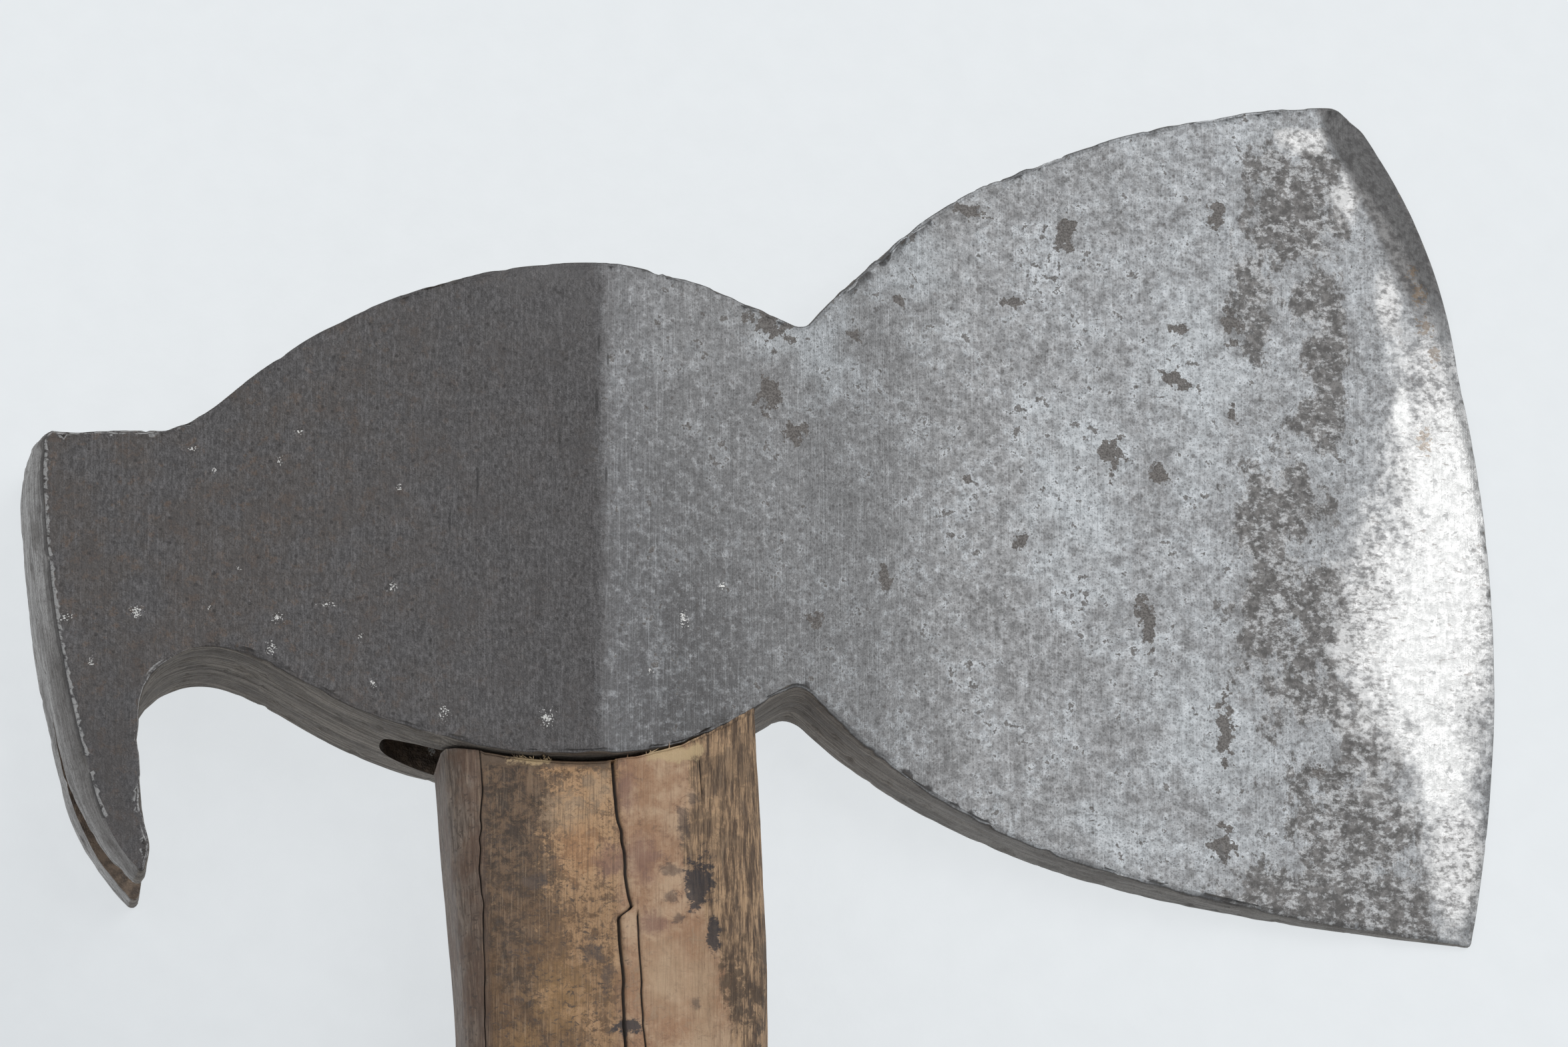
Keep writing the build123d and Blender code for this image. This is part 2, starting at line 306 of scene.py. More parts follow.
def apply_modifiers(piece):
    """Replaces the piece's mesh with what its modifiers make."""
    graph = bpy.context.evaluated_depsgraph_get()
    mesh = bpy.data.meshes.new_from_object(piece.evaluated_get(graph))
    piece.modifiers.clear()
    piece.data = mesh


def boolean(piece, cutter, operation="DIFFERENCE"):
    modifier = piece.modifiers.new("cut", "BOOLEAN")
    modifier.operation = operation
    modifier.object = cutter
    modifier.solver = "MANIFOLD"
    apply_modifiers(piece)


# ------------------------------------------------------------- head: geometry
def head_profile(tree):
    """The bevelled side's height at each X, read from the CAD along the eye."""
    xs = np.linspace(*PROFILE_X, PROFILE_SAMPLES)
    zs = []
    for x in xs:
        hit = tree.ray_cast(Vector((x, 0.0, 60.0)), Vector((0, 0, -1)))[0]
        zs.append(hit.z if hit else 0.5)
    return xs, np.array(zs)


class Head:
    """Measures of the head that its surfaces share."""

    def __init__(self):
        tree = cad_bvh("head_body", "cutting_bit")
        self.xs, self.zs = head_profile(tree)
        self.back_slope = (self.zs[40] - self.zs[0]) / (self.xs[40] - self.xs[0])
        self.ridge_x = self.xs[np.argmax(self.zs)]
        loop = resampled(flat_side_outline(), LOOP_STEP)
        self.loop = smoothed(loop, 1)
        ahead = np.roll(self.loop, -1, axis=0) - np.roll(self.loop, 1, axis=0)
        inward = np.column_stack([-ahead[:, 1], ahead[:, 0]])
        inward = smoothed(inward / np.linalg.norm(inward, axis=1)[:, None], 2)
        self.inward = inward / np.linalg.norm(inward, axis=1)[:, None]
        self.on_edge = (self.loop[:, 0] > EDGE_BEYOND_X) & (self.inward[:, 0] < -0.7)
        self.edge_tree = point_tree(self.loop[self.on_edge])

    def profile(self, x):
        inside = np.interp(x, self.xs, self.zs)
        beyond = self.zs[0] + (x - self.xs[0]) * self.back_slope
        return np.where(x < self.xs[0], beyond, inside)

    def edge_distance(self, points):
        """How far 2-D points are from the cutting edge, where its bevel may reach."""
        away = np.full(len(points), FAR_OFF)
        for i in np.flatnonzero(points[:, 0] > BEVEL_BEYOND_X):
            away[i] = self.edge_tree.find(Vector((*points[i, :2], 0)))[2]
        return away

    def height(self, points):
        """The bevelled side's height over 2-D points."""
        bevel = EDGE_THICK + BEVEL_SLOPE * self.edge_distance(points)
        return np.minimum(self.profile(points[:, 0]), bevel)


def head_corners(head):
    """How far the bevelled side's corner is cut in and down, round the outline."""
    x, y = head.loop[:, 0], head.loop[:, 1]
    facing_back = smoothstep(head.inward[:, 0], 0.35, 0.8) * (x < -52.0) * (y < 9.5)
    poll = smoothed(facing_back, 3)
    towards_tip = smoothstep(-y, 34.0, 47.5)
    poll_in = POLL_IN * (1 - towards_tip) + 0.6 * towards_tip
    wear = 1.0 + 0.45 * noise(np.column_stack([x, y, 0 * x]), 5.0, 11)
    cut_in = WORN_RADIUS * wear * (1 - poll) + poll_in * poll
    cut_down = WORN_RADIUS * wear * (1 - poll) + POLL_DOWN * poll
    sharp = smoothed(head.on_edge.astype(float), 2)
    cut_in = cut_in * (1 - sharp) + 0.12 * sharp
    cut_down = cut_down * (1 - sharp) + 0.12 * sharp
    return cut_in, cut_down, poll


def hex_points(boundary, step, keep_off):
    """Points of a hexagonal grid inside a closed loop, clear of the loop."""
    tree = point_tree(boundary)
    after = np.roll(boundary, -1, axis=0)
    rows = np.arange(boundary[:, 1].min(), boundary[:, 1].max(), step * 0.866)
    found = []
    for k, y in enumerate(rows):
        crosses = (boundary[:, 1] > y) != (after[:, 1] > y)
        a, b = boundary[crosses], after[crosses]
        cuts = np.sort(a[:, 0] + (y - a[:, 1]) / (b[:, 1] - a[:, 1]) * (b[:, 0] - a[:, 0]))
        for left, right in zip(cuts[::2], cuts[1::2]):
            first = math.ceil(left / step) * step + (step / 2 if k % 2 else 0.0)
            found += [(x, y) for x in np.arange(first, right, step)]
    return np.array([p for p in found if tree.find(Vector((*p, 0)))[2] > keep_off])


def flat_mesh(boundary, inner):
    """Triangles over a closed loop and the points inside it."""
    n = len(boundary)
    points = np.vstack([boundary, inner])
    result = delaunay_2d_cdt(
        [Vector(p) for p in points], [], [list(range(n))], 1, 1e-7, True
    )
    triangles = [tuple(f) for f, source in zip(result[2], result[5]) if source]
    return np.array([tuple(p) for p in result[0]]), triangles


def ridge_points(head, boundary):
    """Points along the cheek's ridge, so that its crease is a clean line."""
    inside = np.abs(boundary[:, 0] - head.ridge_x) < 1.0
    low, high = boundary[inside][:, 1].min(), boundary[inside][:, 1].max()
    ys = np.arange(low + 0.6, high - 0.4, 0.5)
    return np.column_stack([np.full(len(ys), head.ridge_x), ys])


def build_head_shell(head):
    """The whole head as one closed mesh, before the eye and the slot are cut."""
    cut_in, cut_down, poll = head_corners(head)
    n = len(head.loop)
    s = np.arange(n) * LOOP_STEP
    face_loop = head.loop + head.inward * cut_in[:, None]
    top = head.height(face_loop)
    cut_down = np.minimum(cut_down, top * 0.45)
    rings = []

    def ring(inset, z):
        rings.append(np.column_stack([head.loop + head.inward * inset[:, None], z]))

    for k in range(ROUND_ROWS + 1):
        t = k / ROUND_ROWS
        turn = t * math.pi / 2
        inset = cut_in * ((1 - poll) * (1 - math.sin(turn)) + poll * (1 - t) ** 1.6)
        drop = cut_down * ((1 - poll) * (1 - math.cos(turn)) + poll * t)
        ring(inset, top - drop)
    low_round = np.minimum(0.6, top * 0.3)
    wall_top = top - cut_down
    for k in range(1, WALL_ROWS):
        t = k / WALL_ROWS
        ring(np.zeros(n), wall_top * (1 - t) + low_round * t)
    for k in range(4):
        turn = k / 3 * math.pi / 2
        ring(low_round * (1 - math.cos(turn)), low_round * (1 - math.sin(turn)))

    # hammered and laminated side walls: streaks that run along the outline
    for k, points in enumerate(rings):
        along = np.column_stack([s, points[:, 2] * 6.0, 0 * s])
        bands = fbm(along, 7.0, 5, 3) * 0.16 + fbm(points, 9.0, 8, 2) * 0.16
        nicks = np.maximum(0.0, fbm(points, 1.6, 21, 2) - 0.30) * 0.8
        chipped = np.maximum(0.0, fbm(points, 3.4, 23, 3) + 0.05)
        chipped *= 1.0 if k <= ROUND_ROWS + 1 else 0.4
        depth = 0.06 + bands + nicks + 0.50 * chipped
        thin = smoothstep(top, 0.4, 4.0)
        depth = np.maximum(depth * (0.25 + 0.75 * thin), 0.0)
        if 0 < k < len(rings) - 1:
            points[:, :2] += head.inward * depth[:, None]

    walls, faces = stacked(rings, capped=False)
    points = [walls]
    faces = [tuple(reversed(f)) for f in faces]
    count = len(walls)

    # the bevelled side
    outline = rings[0][:, :2]
    inner = hex_points(outline, NEAR_STEP, 0.42)
    crease = ridge_points(head, outline)
    inner = inner[np.abs(inner[:, 0] - head.ridge_x) > 0.36]
    flat, triangles = flat_mesh(outline, np.vstack([inner, crease]))
    points.append(np.column_stack([flat, head.height(flat)]))
    faces += [tuple(count + i for i in f) for f in triangles]
    count += len(flat)

    # the flat side
    outline = rings[-1][:, :2]
    flat, triangles = flat_mesh(outline, hex_points(outline, FAR_STEP, 0.6))
    points.append(np.column_stack([flat, np.zeros(len(flat))]))
    faces += [tuple(count + i for i in reversed(f)) for f in triangles]

    shell = new_object("head_shell", np.vstack(points), faces)
    with editing(shell.data) as bm:
        bmesh.ops.remove_doubles(bm, verts=bm.verts, dist=2e-6)
        bmesh.ops.dissolve_degenerate(bm, edges=bm.edges, dist=1e-6)
        bmesh.ops.recalc_face_normals(bm, faces=bm.faces)
    return shell


def wear_head(shell, head):
    """Hammered, pitted and ground surfaces, always a little inside the CAD's."""
    points, normals = mesh_points(shell), mesh_normals(shell)
    x, up = points[:, 0], normals[:, 2]
    near = smoothstep(up, 0.55, 0.9)
    far = smoothstep(-up, 0.55, 0.9)
    on_poll = 1 - smoothstep(x, head.ridge_x - 0.5, head.ridge_x + 1.5)
    thin = smoothstep(points[:, 2], 0.8, 4.0)
    swell = 0.5 + 0.5 * fbm(points, 22.0, 3, 2)
    dents = np.maximum(0.0, fbm(points, 4.5, 17, 2) - 0.25)
    pits = np.maximum(0.0, fbm(points, 1.7, 29, 2) - 0.42)
    depth = SKIN + 0.16 * swell + on_poll * (0.30 * dents + 0.55 * pits)
    depth += (1 - on_poll) * (0.08 * dents + 0.25 * pits)
    points[:, 2] -= near * depth * thin
    points[:, 2] += far * (0.03 + 0.10 * swell + 0.25 * pits)
    set_mesh_points(shell, points)


def superellipse_ring(y, length, width, columns):
    """The eye's outline at a height: an ellipse squared off by two powers."""
    turn = np.arange(columns) * 2 * math.pi / columns
    c, s = np.cos(turn), np.sin(turn)
    x = np.sign(c) * np.abs(c) ** (2 / EYE_POWERS[0]) * length / 2
    z = np.sign(s) * np.abs(s) ** (2 / EYE_POWERS[1]) * width / 2
    return np.column_stack([EYE_X + x, np.full(columns, y), EYE_Z + z])


def eye_cutter():
    """The eye's hole, tapered, with a rough forged wall and a rounded mouth."""
    rings = []
    for y in np.linspace(-EYE_CUT_REACH, EYE_CUT_REACH, EYE_CUT_ROWS):
        share = (y + EYE_HALF_DEPTH) / (2 * EYE_HALF_DEPTH)
        length = EYE_LOW[0] * (1 - share) + EYE_TOP[0] * share
        width = EYE_LOW[1] * (1 - share) + EYE_TOP[1] * share
        ring = superellipse_ring(y, length, width, EYE_CUT_COLUMNS)
        out = ring - np.array([EYE_X, y, EYE_Z])
        out /= np.linalg.norm(out, axis=1)[:, None]
        rings.append(ring + out * (0.12 * fbm(ring, 4.0, 51, 3))[:, None])
    return outward(new_object("eye_cutter", *stacked(rings)))


def slot_cutter():
    """The claw's V slot, a long wedge whose walls were filed by hand."""
    rows, columns = SLOT_ROWS, SLOT_COLUMNS
    points, faces = [], []
    for side in (-1, 1):
        for i in range(rows + 1):
            y = SLOT_ROOT_Y + (SLOT_END_Y - SLOT_ROOT_Y) * i / rows
            share = i / rows
            half = (SLOT_ROOT_WIDTH * (1 - share) + SLOT_END_WIDTH * share) / 2
            for j in range(columns + 1):
                x = SLOT_X[0] + (SLOT_X[1] - SLOT_X[0]) * j / columns
                points.append((x, y, SLOT_Z + side * half))
    points = np.array(points)
    points[:, 2] += 0.16 * fbm(points, (6.0, 5.0, 50.0), 61, 3)
    half_count = (rows + 1) * (columns + 1)

    def index(side, i, j):
        return side * half_count + i * (columns + 1) + j

    for side, i, j in itertools.product((0, 1), range(rows), range(columns)):
        corners = ((i, j), (i + 1, j), (i + 1, j + 1), (i, j + 1))
        faces.append(tuple(index(side, k, m) for k, m in corners))
    rim = [(0, j) for j in range(columns)] + [(i, columns) for i in range(rows)]
    rim += [(rows, j) for j in range(columns, 0, -1)] + [(i, 0) for i in range(rows, 0, -1)]
    for (i, j), (k, m) in zip(rim, rim[1:] + rim[:1]):
        faces.append((index(0, i, j), index(0, k, m), index(1, k, m), index(1, i, j)))
    return outward(new_object("slot_cutter", points, faces))


def bit_cutter(head):
    """Everything forward of the weld, with the wedge-shaped root of the bit."""
    weld_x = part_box("head_body")[1].x * TO_MM
    root_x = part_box("cutting_bit")[0].x * TO_MM
    high = float(head.profile(np.array([weld_x]))[0])
    beyond, under, over = 140.0, -2.0, high + 4.0
    section = [
        (weld_x, under),
        (weld_x, high * 0.16),
        (root_x, high * 0.47),
        (weld_x, high * 0.84),
        (weld_x, over),
        (beyond, over),
        (beyond, under),
    ]
    x, z = np.array(section).T
    rings = []
    for y in np.arange(-60.0, 76.0, 1.0):
        wave = 0.35 * noise(np.column_stack([y + 0 * z, z, 0 * z]), 7.0, 71)
        rings.append(np.column_stack([x + wave * (x < beyond), y + 0 * z, z]))
    return outward(new_object("bit_cutter", *stacked(rings)))


def build_head(head):
    """The iron body and the steel bit, split at their weld."""
    body = build_head_shell(head)
    wear_head(body, head)
    eye, front, slot = eye_cutter(), bit_cutter(head), slot_cutter()
    boolean(body, eye)
    bit = linked("bit", body.data.copy())
    boolean(bit, front, "INTERSECT")
    boolean(body, front)
    boolean(body, slot)
    for cutter in (eye, front, slot):
        bpy.data.objects.remove(cutter)
    body.name, bit.name = "forged_head_body", "welded_cutting_bit"
    return body, bit


# ----------------------------------------------------------- handle: geometry
# the cracks of the haft's front: half width, depth, top and lower end, and the
# points (x, y) of its way down
CRACKS = (
    (0.12, 1.1, -31.0, -88.0, (
        (-10.9, -32.4), (-11.2, -39.7), (-11.4, -46.7), (-10.9, -52.0), (-10.4, -90.0),
    )),
    (0.31, 3.0, -30.0, -99.0, (
        (5.3, -31.0), (5.6, -34.5), (6.2, -39.3), (7.0, -43.6), (7.5, -49.0), (8.1, -51.9),
        (6.5, -53.2), (6.7, -56.3), (7.1, -60.9), (7.4, -69.9), (6.9, -84.0), (6.2, -100.0),
    )),
    (0.18, 1.8, -52.2, -84.0, (
        (6.9, -31.0), (7.6, -42.0), (8.9, -52.5), (9.2, -58.2), (9.9, -69.8), (10.6, -86.0),
    )),
    (0.12, 0.8, -32.0, -40.5, (
        (16.0, -31.0), (16.3, -33.0), (17.2, -38.0), (17.6, -42.0), (18.2, -90.0),
    )),
)
# where the columns beside a crack go, in its half widths
CRACK_SIDES = ((-2, -2.6), (-1, -1.0), (0, 0.0), (1, 1.0), (2, 2.6))
CRACKED_ABOVE = -110.0  # the rings are plain below this
CRACK_BAND_Y = -33.9  # the lower rim of the crushed band under the head


def crack_x(route, y):
    """Where a crack crosses this height, with the grain's small wander."""
    ys = [-point[1] for point in route]
    wander = 0.10 * noise(np.array([[y, 0.0, 0.0]]), 1.4, 37)[0]
    return float(np.interp(-y, ys, [point[0] for point in route])) + wander


class Handle:
    """The haft's section at each height, read from the CAD by casting rays."""

    def __init__(self):
        self.tree = cad_bvh("handle")
        turn = 2 * math.pi * (np.arange(COLUMNS) / COLUMNS)
        turn = turn - FRONT_CROWDING * np.sin(turn - math.pi / 2)
        self.c, self.s = np.cos(turn), np.sin(turn)
        base = self.plain_section(-50.0)
        front = [j for j in range(COLUMNS) if base[j, 2] > 23.0]
        self.columns = []
        for _, _, _, _, route in CRACKS:
            x = crack_x(route, -50.0)
            self.columns.append(min(front, key=lambda j: abs(base[j, 0] - x)))
        self.columns[2] = min(self.columns[2], self.columns[1] - 5)

    def middle(self, y):
        left = self.tree.ray_cast(Vector((-60, y, HANDLE_Z)), Vector((1, 0, 0)))[0]
        right = self.tree.ray_cast(Vector((80, y, HANDLE_Z)), Vector((-1, 0, 0)))[0]
        return (left.x + right.x) / 2, (right.x - left.x) / 2

    def plain_section(self, y):
        middle, half = self.middle(y)
        points = []
        for c, s in zip(self.c, self.s):
            way = Vector((c * half, 0, s * half * 0.62)).normalized()
            away = Vector((middle, y, HANDLE_Z)) + way * 60.0
            hit = self.tree.ray_cast(away, -way)[0]
            points.append((hit.x, y, hit.z))
        return np.array(points)

    def section(self, y):
        """The section with its front columns shifted onto the cracks."""
        points = self.plain_section(y)
        if y < CRACKED_ABOVE:
            return points
        front = np.flatnonzero(points[:, 2] > 21.0)
        x = points[front, 0]
        ends = (x.min(), x.max())
        known = [(ends[0], ends[0]), (ends[1], ends[1])]
        for (half, _, _, _, route), column in zip(CRACKS, self.columns):
            place = crack_x(route, y)
            for k, offset in CRACK_SIDES:
                known.append((points[column - k, 0], place + offset * half))
        known.sort()
        for k in range(1, len(known)):
            known[k] = (known[k][0], max(known[k][1], known[k - 1][1] + 0.03))
        fade = float(smoothstep(y, CRACKED_ABOVE, CRACKED_ABOVE + 15.0))
        wanted = np.interp(x, [k[0] for k in known], [k[1] for k in known])
        for j, new_x in zip(front, x + (wanted - x) * fade):
            hit = self.tree.ray_cast(Vector((new_x, y, 60.0)), Vector((0, 0, -1)))[0]
            points[j] = (hit.x, y, hit.z)
        return points


def handle_rows():
    """Heights of the haft's rings: close together where the light shows most."""
    close = np.arange(SHOULDER_Y, -76.0, -0.45)
    middle = close[-1] - np.cumsum(np.linspace(0.5, 1.6, 60))
    rest = np.arange(middle[-1] - 1.6, BUTT_Y + 5.0, -1.6)
    end = np.linspace(BUTT_Y + 4.6, BUTT_Y + 0.02, 14)
    return np.concatenate([close, middle, rest, end])


def build_grip(head):
    """The haft below the head; also its sections, and how many rings lie under the eye."""
    handle = Handle()
    rows = handle_rows()
    sections = [handle.section(y) for y in rows]
    # the head's lower outline over the haft, which the shoulder rises to
    lobe = head.loop[(head.inward[:, 1] > 0.3) & (np.abs(head.loop[:, 0]) < 30.0)]
    lobe = lobe[np.argsort(lobe[:, 0])]
    first = handle.plain_section(rows[2])
    drift = (handle.plain_section(rows[30]) - first) / (rows[30] - rows[2])
    drift[:, 1] = 1.0
    first = sections[0]
    rings = []
    for k in range(20, 0, -1):
        share = k / 20
        rise = np.interp(first[:, 0], lobe[:, 0], lobe[:, 1]) - 0.15 - first[:, 1]
        rings.append(first + drift * (share * rise)[:, None])
    crushed = []
    for share in np.linspace(0.45, 0.985, 12):
        x = EYE_X + (rings[0][:, 0] - EYE_X) * share
        z = EYE_Z + (rings[0][:, 2] - EYE_Z) * share
        crushed.append(np.column_stack([x, np.interp(x, lobe[:, 0], lobe[:, 1]) - 0.2, z]))
    rings = crushed + rings + sections
    last = rings[-1]
    centre = last.mean(axis=0)
    for share in np.linspace(0.93, 0.05, 15):
        ring = centre + (last - centre) * share
        ring[:, 1] = BUTT_Y + 0.02
        rings.append(ring)
    grip = outward(new_object("grip", *stacked(rings)))
    return grip, handle, len(crushed)


def wear_grip(grip, handle, first_ring):
    """Grain, dents and cracks of old dry wood."""
    points, normals = mesh_points(grip), mesh_normals(grip)
    x, y = points[:, 0], points[:, 1]
    grain = fbm(points, (1.6, 40.0, 1.6), 81, 3)
    fibre = fbm(points, (0.7, 9.0, 0.7), 85, 2)
    swell = fbm(points, 16.0, 87, 2)
    chips = np.maximum(0.0, fbm(points, (3.0, 8.0, 3.0), 91, 2) - 0.34)
    rough = 0.35 + 0.65 * smoothstep(x, 14.0, 19.0)
    depth = 0.26 + rough * (0.10 * grain + 0.10 * fibre) + 0.14 * swell + 0.5 * chips * rough
    # the left flank is a little narrower than the CAD's lower down
    depth += 0.45 * smoothstep(-x, 8.0, 12.0) * smoothstep(-y, 44.0, 66.0)
    # a crushed band under the head, left of the main crack
    line = CRACK_BAND_Y + 0.5 * noise(points * np.array([1.0, 0.0, 0.0]), 2.6, 93)
    band = smoothstep(y, line - 0.35, line + 0.1)
    band = band * smoothstep(x, -11.5, -10.5) * (1 - smoothstep(x, 5.0, 5.6))
    depth += 0.22 * band * smoothstep(points[:, 2], 18.0, 22.0)
    frayed = smoothstep(y, -34.0, -28.0)
    depth += frayed * 0.35 * np.maximum(0.0, fbm(points, (0.9, 2.0, 0.9), 95, 2))
    points = points - normals * np.maximum(depth, 0.02)[:, None]
    ring = np.arange(len(points)) // COLUMNS
    column = np.arange(len(points)) % COLUMNS
    # painted shade: how much each crack's bottom is darkened
    dark = np.zeros(len(points))
    for (half, deep, top, low, route), at in zip(CRACKS, handle.columns):
        here = (column == at) & (ring >= first_ring)
        run = smoothstep(-y, -top, -top + 1.0) * (1 - smoothstep(-y, -low - 9.0, -low))
        varied = 0.75 + 0.35 * noise(np.column_stack([y, 0 * y, 0 * y]), 3.1, int(1000 * half))
        points[here, 2] -= (deep * run * varied)[here]
        dark[here] = run[here]
    set_mesh_points(grip, points)
    # the material paints shade into the cracks' bottoms by this
    grip.data.attributes.new("crack", "FLOAT", "POINT").data.foreach_set("value", dark)


def build_splinters(spots):
    """Crushed blond fibres at the shoulder, each a thin closed spike."""
    rng = np.random.default_rng(11)
    points, faces = [], []
    for x, y, reach, count in spots:
        for _ in range(count):
            foot = np.array([x + reach * rng.uniform(-1, 1), y + rng.uniform(-0.9, 0.5), SPLINTER_Z])
            lean = rng.uniform(-1.1, 1.1)
            way = np.array([math.sin(lean), math.cos(lean) * rng.choice([-1, 1]), rng.uniform(-0.1, 0.22)])
            side = np.array([way[1], -way[0], 0.0])
            tip = foot + way * rng.uniform(0.5, 1.5)
            wide = rng.uniform(0.06, 0.14)
            base = len(points)
            points += [foot + side * wide, foot - side * wide, foot - np.array([0, 0, 0.5]), tip]
            points[-2] = points[-2] + way * 0.1
            faces += [(base, base + 1, base + 3), (base + 1, base + 2, base + 3)]
            faces += [(base + 2, base, base + 3), (base + 1, base, base + 2)]
    return outward(new_object("splinters", np.array(points), faces, smooth=False))


def build_tenon():
    """The tenon, from the CAD handle, cut off just inside the head."""
    tenon = linked("tenon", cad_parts["handle"].data.copy())
    with editing(tenon.data) as bm:
        bmesh.ops.remove_doubles(bm, verts=bm.verts, dist=1e-6)
    with editing(tenon.data) as bm:
        everything = list(bm.verts) + list(bm.edges) + list(bm.faces)
        cut_at = (0, TENON_CUT_Y * MM, 0)
        bmesh.ops.bisect_plane(bm, geom=everything, plane_co=cut_at, plane_no=(0, -1, 0), clear_outer=True)
        bmesh.ops.contextual_create(bm, geom=[e for e in bm.edges if e.is_boundary])
        bmesh.ops.recalc_face_normals(bm, faces=bm.faces)
    return tenon


def joined(name, *parts):
    """One object from several closed meshes."""
    bm = bmesh.new()
    for part in parts:
        bm.from_mesh(part.data)
    mesh = bpy.data.meshes.new(name)
    bm.to_mesh(mesh)
    bm.free()
    for part in parts:
        bpy.data.objects.remove(part)
    return linked(name, mesh)


# ------------------------------------------------------------------ materials
class Amount:
    """A number that varies over the surface; sums and products make nodes."""

    def __init__(self, graph, socket):
        self.graph, self.socket = graph, socket

    def __add__(self, other):
        return self.graph.math("ADD", self, other)

    def __sub__(self, other):
        return self.graph.math("SUBTRACT", self, other)

    def __rsub__(self, other):
        return self.graph.math("SUBTRACT", other, self)

    def __mul__(self, other):
        return self.graph.math("MULTIPLY", self, other)


class Paint:
    """A colour that coats are laid over, each through a mask from 0 to 1."""

    def __init__(self, graph, socket):
        self.graph, self.socket = graph, socket

    def over(self, mask, tone):
        self.socket = self.graph.blend(mask, self.socket, tone)

    def tint(self, value, low, high, strength, tone):
        """A coat that comes in as the value goes from low to high."""
        self.over(self.graph.ease(value, low, high, 0.0, strength), tone)


class Graph:
    """Builds a node material; its lengths are millimetres in the CAD's frame."""

    def __init__(self, name):
        self.material = bpy.data.materials.new(name)
        self.material.use_nodes = True
        self.tree = self.material.node_tree
        self.shader = self.tree.nodes["Principled BSDF"]
        place = self.tree.nodes.new("ShaderNodeTexCoord").outputs["Object"]
        self.at = self.vector("MULTIPLY", place, (TO_MM, TO_MM, TO_MM))
        self.x, self.y, self.z = self.split(self.at)
        normal = self.tree.nodes.new("ShaderNodeNewGeometry").outputs["Normal"]
        self.facing = self.split(normal)

    def node(self, kind, *inputs, **settings):
        made = self.tree.nodes.new(kind)
        for key, value in settings.items():
            setattr(made, key, value)
        for socket, value in zip(made.inputs, inputs):
            self.feed(socket, value)
        return made

    def feed(self, socket, value):
        """Links a node's output to the socket, or sets the socket's own value."""
        if isinstance(value, (Paint, Amount)):
            value = value.socket
        if isinstance(value, bpy.types.NodeSocket):
            self.tree.links.new(value, socket)
        elif hasattr(socket.default_value, "__len__") and len(value) == 3:
            if len(socket.default_value) == 4:
                value = (*value, 1.0)
            socket.default_value = value
        else:
            socket.default_value = value

    def split(self, vector):
        parts = self.node("ShaderNodeSeparateXYZ", vector).outputs
        return [Amount(self, part) for part in parts]

    def math(self, operation, *values):
        return Amount(self, self.node("ShaderNodeMath", *values, operation=operation).outputs[0])

    def vector(self, operation, *values):
        return self.node("ShaderNodeVectorMath", *values, operation=operation).outputs[0]

    def most(self, a, b):
        return self.math("MAXIMUM", a, b)

    def ease(self, value, low, high, to_low=0.0, to_high=1.0):
        """A smooth step from to_low at low to to_high at high."""
        ends = (value, low, high, to_low, to_high)
        made = self.node("ShaderNodeMapRange", *ends, interpolation_type="SMOOTHSTEP")
        return Amount(self, made.outputs[0])

    def noise(self, size, detail=3.0, rough=0.55, stretch=(1, 1, 1), shift=0.0, warp=0.0):
        """Fractal noise, about 0.5 on average, with features of this size in mm."""
        place = self.vector("MULTIPLY", self.at, tuple(1.0 / (size * k) for k in stretch))
        place = self.vector("ADD", place, (shift, shift * 0.7, shift * 1.3))
        if max(stretch) > 4 * min(stretch):
            # turned, so that the noise's lattice shows no lines across the streaks
            turned = self.node("ShaderNodeVectorRotate", place, rotation_type="EULER_XYZ")
            turned.inputs["Rotation"].default_value = (0.4, 0.5, 0.6)
            place = turned.outputs[0]
        made = self.node("ShaderNodeTexNoise", place)
        made.inputs["Scale"].default_value = 1.0
        made.inputs["Detail"].default_value = detail
        made.inputs["Roughness"].default_value = rough
        made.inputs["Distortion"].default_value = warp
        return Amount(self, made.outputs[0])

    def cells(self, size, shift):
        """Voronoi cells: distance to the nearest cell's point, and its colour."""
        place = self.vector("MULTIPLY", self.at, (1.0 / size, 1.0 / size, 1.0 / size))
        place = self.vector("ADD", place, (shift, shift, shift))
        made = self.node("ShaderNodeTexVoronoi", place)
        made.inputs["Scale"].default_value = 1.0
        return Amount(self, made.outputs["Distance"]), made.outputs["Color"]

    def blend(self, factor, a, b):
        made = self.node("ShaderNodeMix", data_type="RGBA", blend_type="MIX")
        self.feed(made.inputs["Factor"], factor)
        self.feed(made.inputs[6], a)
        self.feed(made.inputs[7], b)
        return made.outputs[2]

    def paint(self, factor, a, b):
        """A colour from a to b, to lay more coats on."""
        return Paint(self, self.blend(factor, a, b))

    def field(self, ellipses):
        """Deepest place in any of these ellipses: 1 at a centre, 0 at a rim."""
        best = None
        for x, y, half_x, half_y in ellipses:
            away = self.vector("SUBTRACT", self.at, (x, y, 0.0))
            away = self.vector("MULTIPLY", away, (1.0 / half_x, 1.0 / half_y, 0.0))
            made = self.node("ShaderNodeVectorMath", away, operation="LENGTH")
            depth = 1.0 - Amount(self, made.outputs["Value"])
            best = depth if best is None else self.most(best, depth)
        return best

    def ragged(self, ellipses, noise, ragged, soft=0.12):
        """These ellipses, with rims torn by a noise that's about 0.5."""
        torn = (noise - 0.5) * ragged
        return self.ease(self.field(ellipses) + torn, 0.0, soft)

    def pits(self, size, share, radius, shift):
        """Round pits: 1 inside one; this share of the cells has one."""
        away, tint = self.cells(size, shift)
        chance = self.node("ShaderNodeSeparateColor", tint).outputs[0]
        chosen = self.ease(chance, 1.0 - share, 1.0 - share + 0.03)
        return self.ease(away, radius, radius * 0.55) * chosen

